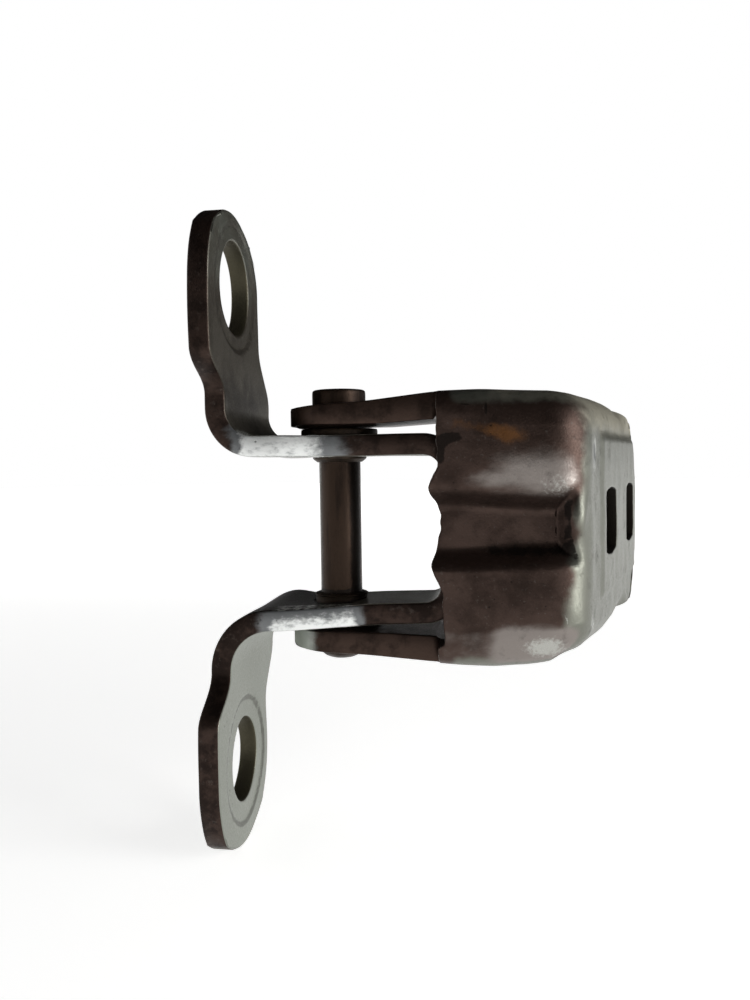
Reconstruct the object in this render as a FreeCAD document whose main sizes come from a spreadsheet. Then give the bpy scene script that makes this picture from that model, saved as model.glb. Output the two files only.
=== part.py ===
"""Pressed steel vehicle door hinge: two leaves, a riveted pin and two flanged bushes.

Frame: the pin's axis is Z, with the origin half way between the leaves' arms. +X points from the
flange of the inner leaf to the shell of the outer leaf, and +Y points away from the shell's front
wall. All lengths are millimetres.
"""
import FreeCAD, Part
import Sketcher
import os

# Driving dimensions: alias, value and what it is.
DIMENSIONS = [
    ("PinRadius", 4.0, "hinge pin shank"),
    ("HeadRadius", 5.15, "turned head at the top of the pin"),
    ("HeadHeight", 3.3, "height of the pin head"),
    ("HeadRound", 0.8, "rounded rim of the pin head"),
    ("PeenRadius", 4.9, "upset lower end of the pin"),
    ("PeenHeight", 3.4, "height of the upset end"),
    ("PeenRound", 2.6, "dome of the upset end"),
    ("RunningClearance", 0.05, "radial gap between pin and bushes"),
    ("BushRadius", 5.0, "outside of the bush sleeve"),
    ("CollarRadius", 7.4, "thrust collar of a bush"),
    ("CollarHeight", 1.4, "thickness of the thrust collar"),
    ("LipRadius", 5.2, "rolled lip of a bush, against the arm"),
    ("LipHeight", 1.1, "how far the rolled lip stands out of the arm"),
    ("InnerPlate", 3.9, "sheet of the inner leaf"),
    ("InnerReach", 17.2, "outer face of an inner arm, from the middle"),
    ("FlangeFace", 18.5, "seating face of the bolt flanges, from the pin axis"),
    ("WebFace", 20.1, "near face of the web that joins the inner arms"),
    ("UpperBend", 4.0, "inside radius, upper arm to flange"),
    ("LowerBend", 7.5, "inside radius, lower arm to flange"),
    ("WebBend", 3.0, "inside radius, arms to web"),
    ("PadFront", 21.1, "front edge of the bolt pads"),
    ("PadBack", 10.0, "back edge of the bolt pads"),
    ("NeckFront", 13.3, "front edge of the flange necks"),
    ("NeckBack", 16.4, "back edge of the flange necks"),
    ("PadTop", 59.2, "upper tip of the upper pad"),
    ("PadBottom", 61.0, "lower tip of the lower pad"),
    ("TipRound", 15.4, "corner radius of the upper pad"),
    ("FootRound", 11.5, "corner radius of the lower pad"),
    ("NeckRound", 5.0, "radius where a neck widens into its pad"),
    ("ArmFront", 9.3, "front edge of the inner arms at the pin"),
    ("ArmBack", 7.2, "back edge of the inner arms at the pin"),
    ("WaistFront", 4.0, "front edge of the web between the arms"),
    ("WaistHalf", 9.8, "half height of the narrowed web"),
    ("BoltForward", 4.8, "bolt holes, in front of the pin axis"),
    ("BoltReach", 45.3, "bolt holes, above and below the middle"),
    ("UpperBolt", 8.8, "radius of the upper bolt hole"),
    ("LowerBolt", 7.9, "radius of the lower bolt hole"),
    ("WasherRadius", 11.9, "shallow washer seat round a bolt hole"),
    ("WasherDepth", 0.3, "depth of the washer seat"),
    ("OuterPlate", 4.1, "sheet of the outer leaf"),
    ("OuterGap", 18.7, "inner face of an outer arm, from the middle"),
    ("EyeRadius", 9.8, "rounded end of the outer arms"),
    ("EyeFront", 10.5, "front edge of the outer arms"),
    ("ShellEdge", 19.8, "sheared edge of the shell's front wall"),
    ("ShellFront", 14.5, "outside of the front wall"),
    ("CrownRise", 1.8, "how much the arms flare up to the shell"),
    ("CrownFar", 24.24, "top of the shell along its mounting wall"),
    ("BaseFar", 21.8, "bottom of the shell along its mounting wall"),
    ("CornerAcross", 45.6, "where front wall and mounting wall meet"),
    ("WallRun", 16.4, "sideways run of the mounting wall"),
    ("WallDepth", 65.6, "depth of the mounting wall"),
    ("CornerRound", 8.0, "outside radius of the shell's corner"),
    ("CrownRound", 4.0, "outside radius of the shell's long edges"),
    ("FarTopRound", 17.0, "far upper corner of the mounting wall"),
    ("FarBaseRound", 10.0, "far lower corner of the mounting wall"),
    ("LipBack", 34.0, "where the mounting wall's return lips end"),
    ("BeadHalf", 8.4, "half height of the stiffening bead"),
    ("BeadFloor", 4.2, "half height of the bead's floor"),
    ("BeadDepth", 4.0, "depth of the bead"),
    ("BeadEnd", 42.5, "closed end of the bead"),
    ("SlotHalf", 6.5, "half height of a bolt slot"),
    ("SlotLength", 15.5, "length of a bolt slot along the wall"),
    ("NearSlot", 25.8, "middle of the near slot, back from the corner"),
    ("SlotPitch", 30.4, "distance between the slots"),
]

BIG = 90.0  # reaches past every face of the hinge

# The mounting wall leans away from the Y axis, so its thickness measured along X is a little more.
WALL_LENGTH = "sqrt(Dims.WallRun^2 + Dims.WallDepth^2)"
WALL_SLANT = f"({WALL_LENGTH} / Dims.WallDepth)"
WALL_CORNER = f"(Dims.CornerAcross * Dims.WallRun - Dims.ShellFront * Dims.WallDepth) / {WALL_LENGTH}"
QUARTER = 1.5707963267948966  # a quarter turn in radians

doc = FreeCAD.newDocument("door_hinge")


def make_sheet():
    """Spreadsheet of the driving dimensions, one named cell each."""
    sheet = doc.addObject("Spreadsheet::Sheet", "Dims")
    for row, (alias, size, note) in enumerate(DIMENSIONS, start=1):
        sheet.set(f"A{row}", alias)
        sheet.set(f"B{row}", str(size))
        sheet.set(f"C{row}", note)
        sheet.setAlias(f"B{row}", alias)
    doc.recompute()
    return sheet


def make_body(name):
    """Empty body whose label names the sub-part."""
    body = doc.addObject("PartDesign::Body", name)
    body.Label = name
    return body


def origin_plane(body, role):
    """One of the body's own origin planes, such as XZ_Plane."""
    return next(item for item in body.Origin.OriginFeatures if item.Role == role)


def make_sketch(body, role, name):
    """Empty sketch lying on one of the body's origin planes."""
    sketch = body.newObject("Sketcher::SketchObject", name)
    sketch.AttachmentSupport = (origin_plane(body, role), "")
    sketch.MapMode = "FlatFace"
    return sketch


def bind(sketch, constraint, expression):
    """Add a dimension to the sketch and tie it to a sheet expression."""
    index = sketch.addConstraint(constraint)
    sketch.setExpression(f"Constraints[{index}]", expression)


def add_polygon(sketch, corners):
    """Closed outline whose corners are pairs of sheet expressions, measured from the origin."""
    spots = []
    for across, up in corners:
        spots.append(FreeCAD.Vector(sketch.evalExpression(across), sketch.evalExpression(up), 0))
    first = sketch.GeometryCount
    count = len(spots)
    for i in range(count):
        sketch.addGeometry(Part.LineSegment(spots[i], spots[(i + 1) % count]))
    for i in range(count):
        following = first + (i + 1) % count
        sketch.addConstraint(Sketcher.Constraint("Coincident", first + i, 2, following, 1))
    for i, (across, up) in enumerate(corners):
        line = first + i
        bind(sketch, Sketcher.Constraint("DistanceX", -1, 1, line, 1, spots[i].x), across)
        bind(sketch, Sketcher.Constraint("DistanceY", -1, 1, line, 1, spots[i].y), up)


def add_circle(sketch, across, up, radius):
    """Circle whose centre and radius are sheet expressions."""
    centre = FreeCAD.Vector(sketch.evalExpression(across), sketch.evalExpression(up), 0)
    size = sketch.evalExpression(radius)
    curve = sketch.addGeometry(Part.Circle(centre, FreeCAD.Vector(0, 0, 1), size))
    bind(sketch, Sketcher.Constraint("Radius", curve, size), radius)
    if centre.Length < 1e-9:
        sketch.addConstraint(Sketcher.Constraint("Coincident", curve, 3, -1, 1))
        return
    bind(sketch, Sketcher.Constraint("DistanceX", -1, 1, curve, 3, centre.x), across)
    bind(sketch, Sketcher.Constraint("DistanceY", -1, 1, curve, 3, centre.y), up)


def pad(body, sketch, name, length=2 * BIG):
    """Extrude a sketch both ways from its plane."""
    feature = body.newObject("PartDesign::Pad", name)
    feature.Profile = sketch
    feature.SideType = "Symmetric"
    feature.Length = length
    body.Tip = feature
    doc.recompute()
    return feature


def pocket(body, sketch, name, length=2 * BIG):
    """Cut a sketch both ways from its plane, and make sure that it removed something."""
    before = body.Shape.Volume
    feature = body.newObject("PartDesign::Pocket", name)
    feature.Profile = sketch
    feature.SideType = "Symmetric"
    feature.Length = length
    body.Tip = feature
    doc.recompute()
    if body.Shape.Volume > before - 0.01:
        raise RuntimeError(f"{name} cuts nothing")
    return feature


def edges_where(shape, test):
    """Names of the straight edges whose middle and direction pass the test."""
    names = []
    for number, edge in enumerate(shape.Edges, start=1):
        if edge.Curve.TypeId != "Part::GeomLine":
            continue
        ends = [vertex.Point for vertex in edge.Vertexes]
        middle = (ends[0] + ends[1]) * 0.5
        if test(middle, edge.Curve.Direction):
            names.append(f"Edge{number}")
    return names


def along(direction, axis):
    """True for a direction parallel to the axis named x, y or z."""
    return abs(getattr(direction, axis)) > 0.999


def close(a, b):
    """True for two lengths that agree."""
    return abs(a - b) < 0.05


def add_fillet(body, name, radius, edges):
    """Round the named edges of the body's tip by a sheet expression."""
    if not edges:
        raise RuntimeError(f"{name} finds no edge")
    base = body.Tip
    feature = body.newObject("PartDesign::Fillet", name)
    feature.Base = (base, edges)
    feature.setExpression("Radius", radius)
    body.Tip = feature
    doc.recompute()


def fillet(body, name, radius, test):
    """Round the straight edges of the body's tip that pass the test."""
    add_fillet(body, name, radius, edges_where(body.Tip.Shape, test))


def size(alias):
    """Value of one driving dimension."""
    return float(getattr(doc.getObject("Dims"), alias))


def inner_strip(body):
    """The inner leaf's sheet seen from the front: flange, arm, web, arm, flange."""
    back = "-(Dims.FlangeFace + Dims.InnerPlate)"
    face = "-Dims.FlangeFace"
    far = "Dims.WebFace + Dims.InnerPlate"
    inside = "Dims.InnerReach - Dims.InnerPlate"
    sketch = make_sketch(body, "XZ_Plane", "strip_outline")
    add_polygon(sketch, [
        (back, "Dims.PadTop"),
        (face, "Dims.PadTop"),
        (face, "Dims.InnerReach"),
        (far, "Dims.InnerReach"),
        (far, "-Dims.InnerReach"),
        (face, "-Dims.InnerReach"),
        (face, "-Dims.PadBottom"),
        (back, "-Dims.PadBottom"),
        (back, f"-({inside})"),
        ("Dims.WebFace", f"-({inside})"),
        ("Dims.WebFace", inside),
        (back, inside),
    ])
    pad(body, sketch, "strip")


def bend_inner_strip(body):
    """Inside and outside radii of the six bends."""
    face = -size("FlangeFace")
    back = face - size("InnerPlate")
    near = size("WebFace")
    far = near + size("InnerPlate")
    reach = size("InnerReach")
    inside = reach - size("InnerPlate")

    def bend(name, radius, across, up):
        fillet(body, name, radius, lambda p, d: along(d, "y") and close(p.x, across) and close(p.z, up))

    bend("upper_inside", "Dims.UpperBend", face, reach)
    bend("upper_outside", "Dims.UpperBend + Dims.InnerPlate", back, inside)
    bend("lower_inside", "Dims.LowerBend", face, -reach)
    bend("lower_outside", "Dims.LowerBend + Dims.InnerPlate", back, -inside)
    for word, side in (("upper", 1), ("lower", -1)):
        bend(f"{word}_web_inside", "Dims.WebBend", near, side * inside)
        bend(f"{word}_web_outside", "Dims.WebBend + Dims.InnerPlate", far, side * reach)


def trim_flanges(body):
    """Cut the strip to the outline of pads and necks, seen along X."""
    sketch = make_sketch(body, "YZ_Plane", "flange_outline")
    big = str(BIG)
    add_polygon(sketch, [(f"-{big}", f"-{big}"), (big, f"-{big}"), (big, big), (f"-{big}", big)])
    add_polygon(sketch, [
        ("-Dims.PadFront", "Dims.PadTop + 1"),
        ("-Dims.PadFront", "Dims.InnerReach + 13.5"),
        ("-Dims.NeckFront", "Dims.InnerReach + 9.3"),
        ("-Dims.NeckFront", "-(Dims.InnerReach + 10.5)"),
        ("-Dims.PadFront", "-(Dims.InnerReach + 16)"),
        ("-Dims.PadFront", "-(Dims.PadBottom + 1)"),
        ("Dims.PadBack", "-(Dims.PadBottom + 1)"),
        ("Dims.PadBack", "-(Dims.InnerReach + 18.5)"),
        ("Dims.NeckBack", "-(Dims.InnerReach + 11)"),
        ("Dims.NeckBack", "Dims.InnerReach + 8"),
        ("Dims.PadBack", "Dims.InnerReach + 16.5"),
        ("Dims.PadBack", "Dims.PadTop + 1"),
    ])
    pocket(body, sketch, "flange_trim")


def trim_arms(body):
    """Cut the arms narrower than the flange necks, seen along Z."""
    sketch = make_sketch(body, "XY_Plane", "arm_outline")
    bend = "-(Dims.FlangeFace - 4.5)"
    add_polygon(sketch, [
        (bend, "-60"),
        ("60", "-60"),
        ("60", "-Dims.ArmFront"),
        ("Dims.CollarRadius + 1", "-Dims.ArmFront"),
        ("-(Dims.CollarRadius + 2)", "-Dims.NeckFront"),
        (bend, "-Dims.NeckFront"),
    ])
    add_polygon(sketch, [
        (bend, "60"),
        (bend, "Dims.NeckBack"),
        ("-(Dims.CollarRadius + 4.5)", "Dims.NeckBack - 1"),
        ("-4", "Dims.ArmBack"),
        ("60", "Dims.ArmBack"),
        ("60", "60"),
    ])
    pocket(body, sketch, "arm_trim")
    waist = make_sketch(body, "YZ_Plane", "waist_outline")
    add_polygon(waist, [
        ("-60", "Dims.WaistHalf"),
        ("-60", "-Dims.WaistHalf"),
        ("-Dims.WaistFront", "-Dims.WaistHalf"),
        ("-Dims.WaistFront", "Dims.WaistHalf"),
    ])
    pocket(body, waist, "waist")


def round_flanges(body):
    """Round the pads' tips and the steps between necks and pads."""
    top = size("PadTop")
    bottom = -size("PadBottom")
    reach = size("InnerReach")
    fillet(body, "tip_round", "Dims.TipRound", lambda p, d: along(d, "x") and close(p.z, top))
    fillet(body, "foot_round", "Dims.FootRound", lambda p, d: along(d, "x") and close(p.z, bottom))

    def is_step(p, d):
        return along(d, "x") and p.x < -size("FlangeFace") and reach + 7 < abs(p.z) < reach + 20

    fillet(body, "neck_round", "Dims.NeckRound", is_step)


def drill_inner_leaf(body):
    """Bush bores through both arms, bolt holes and their shallow washer seats."""
    bores = make_sketch(body, "XY_Plane", "bush_bore_outline")
    add_circle(bores, "0", "0", "Dims.BushRadius")
    pocket(body, bores, "bush_bores")
    holes = make_sketch(body, "YZ_Plane", "bolt_outline")
    add_circle(holes, "-Dims.BoltForward", "Dims.BoltReach", "Dims.UpperBolt")
    add_circle(holes, "-Dims.BoltForward", "-Dims.BoltReach", "Dims.LowerBolt")
    pocket(body, holes, "bolt_holes")
    seats = make_sketch(body, "YZ_Plane", "washer_seat_outline")
    seats.AttachmentOffset = FreeCAD.Placement(
        FreeCAD.Vector(0, 0, -size("FlangeFace")), FreeCAD.Rotation())
    seats.setExpression(".AttachmentOffset.Base.z", "-Dims.FlangeFace")
    add_circle(seats, "-Dims.BoltForward", "Dims.BoltReach", "Dims.WasherRadius")
    add_circle(seats, "-Dims.BoltForward", "-Dims.BoltReach", "Dims.WasherRadius")
    seat = pocket(body, seats, "washer_seats", 1)
    seat.setExpression("Length", "2 * Dims.WasherDepth")


def make_inner_leaf():
    """Bracket folded from one strip: two bolt flanges, two arms and a web."""
    body = make_body("inner_leaf")
    inner_strip(body)
    bend_inner_strip(body)
    trim_flanges(body)
    trim_arms(body)
    round_flanges(body)
    drill_inner_leaf(body)
    return body


def side_outline(body, name, shrink, left):
    """Outer leaf seen from the front. Shrink moves every long edge inwards by a sheet expression."""
    arm = "Dims.OuterGap + Dims.OuterPlate"
    sketch = make_sketch(body, "XZ_Plane", name)
    add_polygon(sketch, [
        (left, f"{arm} - {shrink}"),
        ("Dims.HeadRadius + 1", f"{arm} - {shrink}"),
        ("Dims.ShellEdge + 2", f"{arm} + Dims.CrownRise - {shrink}"),
        ("Dims.CornerAcross - 11", f"{arm} + 0.8 * Dims.CrownRise - {shrink}"),
        ("Dims.CornerAcross + 3", f"Dims.CrownFar - {shrink}"),
        (str(BIG), f"Dims.CrownFar - {shrink}"),
        (str(BIG), f"-(Dims.BaseFar - {shrink})"),
        ("Dims.CornerAcross + 3", f"-(Dims.BaseFar - {shrink})"),
        ("Dims.CornerAcross - 10", f"-({arm} + 0.6 * Dims.CrownRise - {shrink})"),
        ("Dims.ShellEdge + 2", f"-({arm} + 0.8 * Dims.CrownRise - {shrink})"),
        ("Dims.HeadRadius + 1", f"-({arm} - {shrink})"),
        (left, f"-({arm} - {shrink})"),
    ])
    return sketch


def wall_inside(depth):
    """Expression for the mounting wall's inside face at a given Y expression."""
    lean = f"({depth} + Dims.ShellFront) * Dims.WallRun / Dims.WallDepth"
    return f"Dims.CornerAcross - {WALL_SLANT} * Dims.OuterPlate + {lean}"


def trim_shell_block(body):
    """Cut the outer leaf's block to its plan: eye, arms, front wall, mounting wall."""
    sketch = make_sketch(body, "XY_Plane", "plan_outline")
    big = str(BIG)
    add_polygon(sketch, [(f"-{big}", f"-{big}"), (f"2 * {big}", f"-{big}"), (f"2 * {big}", big),
                         (f"-{big}", big)])
    add_polygon(sketch, [
        ("-Dims.EyeRadius", "-Dims.EyeFront"),
        ("Dims.ShellEdge", "-Dims.EyeFront"),
        ("Dims.ShellEdge", "-Dims.ShellFront"),
        ("Dims.CornerAcross", "-Dims.ShellFront"),
        ("Dims.CornerAcross + 1.2 * Dims.WallRun", "1.2 * Dims.WallDepth - Dims.ShellFront"),
        ("Dims.ShellEdge", "1.2 * Dims.WallDepth - Dims.ShellFront"),
        ("Dims.ShellEdge", "Dims.EyeRadius"),
        ("-Dims.EyeRadius", "Dims.EyeRadius"),
    ])
    pocket(body, sketch, "plan_trim")


def wall_sketch(body, name):
    """Sketch square to the mounting wall, its X along the wall."""
    sketch = make_sketch(body, "YZ_Plane", name)
    sketch.AttachmentOffset = FreeCAD.Placement(
        FreeCAD.Vector(), FreeCAD.Rotation(FreeCAD.Vector(0, 1, 0), -10))
    sketch.setExpression(".AttachmentOffset.Rotation.Angle", "-atan(Dims.WallRun / Dims.WallDepth)")
    doc.recompute()
    return sketch


def add_corner_cut(sketch, far, edge, radius, side):
    """Outline of what a round corner takes off: side is 1 for an upper corner, -1 for a lower one."""
    end = sketch.evalExpression(far)
    rim = side * sketch.evalExpression(edge)
    bend = sketch.evalExpression(radius)
    centre = FreeCAD.Vector(end - bend, rim - side * bend, 0)
    spots = [
        FreeCAD.Vector(end - bend, rim, 0),
        FreeCAD.Vector(end - bend, rim + side * 10, 0),
        FreeCAD.Vector(end + 10, rim + side * 10, 0),
        FreeCAD.Vector(end + 10, rim - side * bend, 0),
        FreeCAD.Vector(end, rim - side * bend, 0),
    ]
    first = sketch.GeometryCount
    for i in range(4):
        sketch.addGeometry(Part.LineSegment(spots[i], spots[i + 1]))
    for i in range(3):
        sketch.addConstraint(Sketcher.Constraint("Coincident", first + i, 2, first + i + 1, 1))
    angles = (0.0, QUARTER) if side > 0 else (-QUARTER, 0.0)
    circle = Part.Circle(centre, FreeCAD.Vector(0, 0, 1), bend)
    curve = sketch.addGeometry(Part.ArcOfCircle(circle, *angles))
    far_end, edge_end = (1, 2) if side > 0 else (2, 1)
    sketch.addConstraint(Sketcher.Constraint("Coincident", curve, edge_end, first, 1))
    sketch.addConstraint(Sketcher.Constraint("Coincident", curve, far_end, first + 3, 2))
    sign = "" if side > 0 else "-"
    bind(sketch, Sketcher.Constraint("Radius", curve, bend), radius)
    bind(sketch, Sketcher.Constraint("DistanceX", -1, 1, curve, 3, centre.x), f"{far} - {radius}")
    bind(sketch, Sketcher.Constraint("DistanceY", -1, 1, curve, 3, centre.y), f"{sign}({edge} - {radius})")
    for line in (first, first + 2):
        sketch.addConstraint(Sketcher.Constraint("Vertical", line))
    for line in (first + 1, first + 3):
        sketch.addConstraint(Sketcher.Constraint("Horizontal", line))
    sketch.addConstraint(Sketcher.Constraint("Distance", first, 10))
    sketch.addConstraint(Sketcher.Constraint("Distance", first + 3, 10))


def trim_mounting_wall(body):
    """Cut away the return lips behind the arms, the far end and its two round corners."""
    big = str(BIG)
    lips = make_sketch(body, "XY_Plane", "lip_outline")
    beyond = "1.5 * Dims.WallDepth"
    add_polygon(lips, [
        ("Dims.ShellEdge", "Dims.EyeRadius"),
        (wall_inside("Dims.LipBack"), "Dims.LipBack"),
        (wall_inside(beyond), beyond),
        (f"-{big}", beyond),
        (f"-{big}", "Dims.EyeRadius"),
    ])
    pocket(body, lips, "lip_trim")
    far = f"{WALL_CORNER} + {WALL_LENGTH}"
    end = wall_sketch(body, "far_end_outline")
    add_polygon(end, [(far, f"-{big}"), (f"2 * {big}", f"-{big}"), (f"2 * {big}", big), (far, big)])
    pocket(body, end, "far_end")
    corners = wall_sketch(body, "far_corner_outline")
    add_corner_cut(corners, far, "Dims.CrownFar", "Dims.FarTopRound", 1)
    add_corner_cut(corners, far, "Dims.BaseFar", "Dims.FarBaseRound", -1)
    pocket(body, corners, "far_corners")


def wall_offset(point):
    """Distance of a point outside the mounting wall's outer face, square to it."""
    run = size("WallRun")
    depth = size("WallDepth")
    across = point.x - size("CornerAcross")
    along_y = point.y + size("ShellFront")
    return (across * depth - along_y * run) / (run * run + depth * depth) ** 0.5


def round_shell(body):
    """Round the arms' eyes and the shell's corner."""
    eye = -size("EyeRadius")
    across = size("CornerAcross")
    front = -size("ShellFront")
    fillet(body, "eye_round", "0.96 * Dims.EyeRadius", lambda p, d: along(d, "z") and close(p.x, eye))
    fillet(body, "corner_round", "Dims.CornerRound",
           lambda p, d: along(d, "z") and close(p.x, across) and close(p.y, front))


def round_crown(body, name, radius, inset):
    """Round the long edges where the walls turn into the top and bottom, inset from the outside."""
    front = inset - size("ShellFront")
    left = size("ShellEdge") - 0.01

    def on_walls(point):
        on_front = close(point.y, front) and point.x > left
        return on_front or (close(wall_offset(point), -inset) and point.y > front)

    names = []
    for number, edge in enumerate(body.Shape.Edges, start=1):
        ends = [edge.valueAt(place) for place in edge.ParameterRange]
        upright = abs(ends[0].z - ends[1].z) > 8
        if not upright and all(on_walls(point) for point in ends):
            names.append(f"Edge{number}")
    add_fillet(body, name, radius, names)


def make_shell_block():
    """Solid block with the outer leaf's outside shape."""
    body = make_body("outer_leaf")
    pad(body, side_outline(body, "outside_outline", "0", "-Dims.EyeRadius"), "outside_block")
    trim_shell_block(body)
    round_shell(body)
    round_crown(body, "crown_round", "Dims.CrownRound", 0.0)
    trim_mounting_wall(body)
    return body


def add_bead(body, name, depth, floor, shoulder, start, end):
    """Cut the stiffening bead's section, seen along X, from start to end."""
    sketch = make_sketch(body, "YZ_Plane", f"{name}_outline")
    middle = f"({start} + {end}) / 2"
    sketch.AttachmentOffset = FreeCAD.Placement(
        FreeCAD.Vector(0, 0, sketch.evalExpression(middle)), FreeCAD.Rotation())
    sketch.setExpression(".AttachmentOffset.Base.z", middle)
    mouth = "-(Dims.ShellFront + 2)"
    add_polygon(sketch, [
        (mouth, f"-({shoulder})"),
        ("-Dims.ShellFront", f"-({shoulder})"),
        (depth, f"-({floor})"),
        (depth, floor),
        ("-Dims.ShellFront", shoulder),
        (mouth, shoulder),
    ])
    feature = pocket(body, sketch, name, 20)
    feature.setExpression("Length", f"{end} - {start}")
    doc.recompute()


def make_cavity():
    """Space inside the outer leaf: between its arms and behind its walls."""
    body = make_body("shell_cavity")
    pad(body, side_outline(body, "inside_outline", "Dims.OuterPlate", "-(Dims.EyeRadius + 2)"), "inside_block")
    sketch = make_sketch(body, "XY_Plane", "inside_plan")
    big = str(BIG)
    left = "-(Dims.EyeRadius + 2)"
    front = "-(Dims.ShellFront - Dims.OuterPlate)"
    add_polygon(sketch, [(f"-{big}", f"-{big}"), (f"2 * {big}", f"-{big}"), (f"2 * {big}", big),
                         (f"-{big}", big)])
    add_polygon(sketch, [
        (left, "-(Dims.ShellFront + 2)"),
        ("Dims.ShellEdge", "-(Dims.ShellFront + 2)"),
        ("Dims.ShellEdge", front),
        (wall_inside(front), front),
        (wall_inside("70"), "70"),
        (left, "70"),
    ])
    pocket(body, sketch, "inside_trim")
    inner_corner = sketch.evalExpression(wall_inside(front))
    front_at = sketch.evalExpression(front)
    fillet(body, "inner_corner_round", "Dims.CornerRound - Dims.OuterPlate",
           lambda p, d: along(d, "z") and close(p.x, inner_corner) and close(p.y, front_at))
    backing = "0.62 * Dims.OuterPlate"
    add_bead(body, "bead_backing", "Dims.BeadDepth + Dims.OuterPlate - Dims.ShellFront",
             f"Dims.BeadFloor + {backing}", f"Dims.BeadHalf + {backing}", "Dims.ShellEdge",
             "(Dims.BeadEnd + Dims.OuterPlate)")
    return body


def cut_slots(body):
    """Two bolt slots with round ends, through the mounting wall."""
    for number, place in enumerate(("Dims.NearSlot", "Dims.NearSlot + Dims.SlotPitch"), start=1):
        sketch = wall_sketch(body, f"slot_{number}_outline")
        middle = f"{WALL_CORNER} + {place}"
        half = "Dims.SlotLength / 2"
        add_polygon(sketch, [
            (f"{middle} - {half}", "-Dims.SlotHalf"),
            (f"{middle} + {half}", "-Dims.SlotHalf"),
            (f"{middle} + {half}", "Dims.SlotHalf"),
            (f"{middle} - {half}", "Dims.SlotHalf"),
        ])
        pocket(body, sketch, f"slot_{number}")

    def is_slot_corner(p, d):
        outside = abs(wall_offset(p) + size("OuterPlate") / 2) < 0.5
        return outside and close(abs(p.z), size("SlotHalf")) and not along(d, "z") and abs(d.x) > 0.9

    fillet(body, "slot_round", "0.98 * Dims.SlotHalf", is_slot_corner)


def make_outer_leaf():
    """Deep-drawn shell with two arms that carry the pin."""
    body = make_shell_block()
    add_bead(body, "bead", "Dims.BeadDepth - Dims.ShellFront", "Dims.BeadFloor", "Dims.BeadHalf",
             "Dims.ShellEdge", "Dims.BeadEnd")
    cavity = make_cavity()
    hollow = body.newObject("PartDesign::Boolean", "hollow")
    hollow.Type = "Cut"
    hollow.setObjects([cavity])
    body.Tip = hollow
    doc.recompute()
    bores = make_sketch(body, "XY_Plane", "pin_bore_outline")
    add_circle(bores, "0", "0", "Dims.PinRadius")
    pocket(body, bores, "pin_bores")
    cut_slots(body)
    return body


def revolve(body, sketch, name):
    """Turn a sketch a full circle about the Z axis."""
    feature = body.newObject("PartDesign::Revolution", name)
    feature.Profile = sketch
    feature.ReferenceAxis = (sketch, ["V_Axis"])
    feature.Angle = 360
    body.Tip = feature
    doc.recompute()
    return feature


def round_rim(body, name, radius, rim_radius, height):
    """Round the circular edge of a turned part, found by its radius and height."""
    names = []
    for number, edge in enumerate(body.Shape.Edges, start=1):
        if edge.Curve.TypeId != "Part::GeomCircle":
            continue
        if close(edge.Curve.Radius, rim_radius) and close(edge.Curve.Center.z, height):
            names.append(f"Edge{number}")
    add_fillet(body, name, radius, names)


def make_pin():
    """Headed pin whose lower end is upset over the outer leaf's lower arm."""
    body = make_body("hinge_pin")
    seat = "Dims.OuterGap + Dims.OuterPlate"
    sketch = make_sketch(body, "XZ_Plane", "pin_outline")
    add_polygon(sketch, [
        ("0", f"{seat} + Dims.HeadHeight"),
        ("Dims.HeadRadius", f"{seat} + Dims.HeadHeight"),
        ("Dims.HeadRadius", seat),
        ("Dims.PinRadius", seat),
        ("Dims.PinRadius", f"-({seat})"),
        ("Dims.PeenRadius", f"-({seat})"),
        ("Dims.PeenRadius", f"-({seat} + Dims.PeenHeight)"),
        ("0", f"-({seat} + Dims.PeenHeight)"),
    ])
    revolve(body, sketch, "turned_pin")
    face = size("OuterGap") + size("OuterPlate")
    round_rim(body, "head_round", "Dims.HeadRound", size("HeadRadius"), face + size("HeadHeight"))
    round_rim(body, "peen_round", "Dims.PeenRound", size("PeenRadius"), -face - size("PeenHeight"))
    return body


def make_bush(name, turned):
    """Flanged bush of an inner arm, with a lip rolled against the arm's other face."""
    body = make_body(name)
    bore = "Dims.PinRadius + Dims.RunningClearance"
    inside = "Dims.InnerReach - Dims.InnerPlate"
    sketch = make_sketch(body, "XZ_Plane", f"{name}_outline")
    add_polygon(sketch, [
        (bore, "Dims.InnerReach + Dims.CollarHeight"),
        ("Dims.CollarRadius", "Dims.InnerReach + Dims.CollarHeight"),
        ("Dims.CollarRadius", "Dims.InnerReach"),
        ("Dims.BushRadius", "Dims.InnerReach"),
        ("Dims.BushRadius", inside),
        ("Dims.LipRadius", inside),
        (f"{bore} + 0.3", f"{inside} - Dims.LipHeight"),
        (bore, f"{inside} - Dims.LipHeight"),
    ])
    revolve(body, sketch, f"turned_{name}")
    if turned:
        body.Placement = FreeCAD.Placement(
            FreeCAD.Vector(), FreeCAD.Rotation(FreeCAD.Vector(1, 0, 0), 180))
        doc.recompute()
    return body


def check_document():
    """Stop on any feature that failed to recompute."""
    doc.recompute()
    for item in doc.Objects:
        if "Invalid" in item.State or "Error" in item.State:
            raise RuntimeError(f"{item.Name} failed: {item.State}")


def write_parts(bodies):
    """Check each sub-part's shape and write it under its own name."""
    for body in bodies:
        if body.Shape.isNull() or not body.Shape.isValid() or len(body.Shape.Solids) != 1:
            raise RuntimeError(f"{body.Label} is not one valid solid")
    os.makedirs("parts", exist_ok=True)
    for body in bodies:
        body.Shape.exportStep(f"parts/{body.Label}.step")
        print(body.Label, round(body.Shape.Volume), body.Shape.BoundBox)


make_sheet()
sub_parts = [
    make_inner_leaf(),
    make_outer_leaf(),
    make_pin(),
    make_bush("upper_bush", turned=False),
    make_bush("lower_bush", turned=True),
]
check_document()
write_parts(sub_parts)
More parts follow.
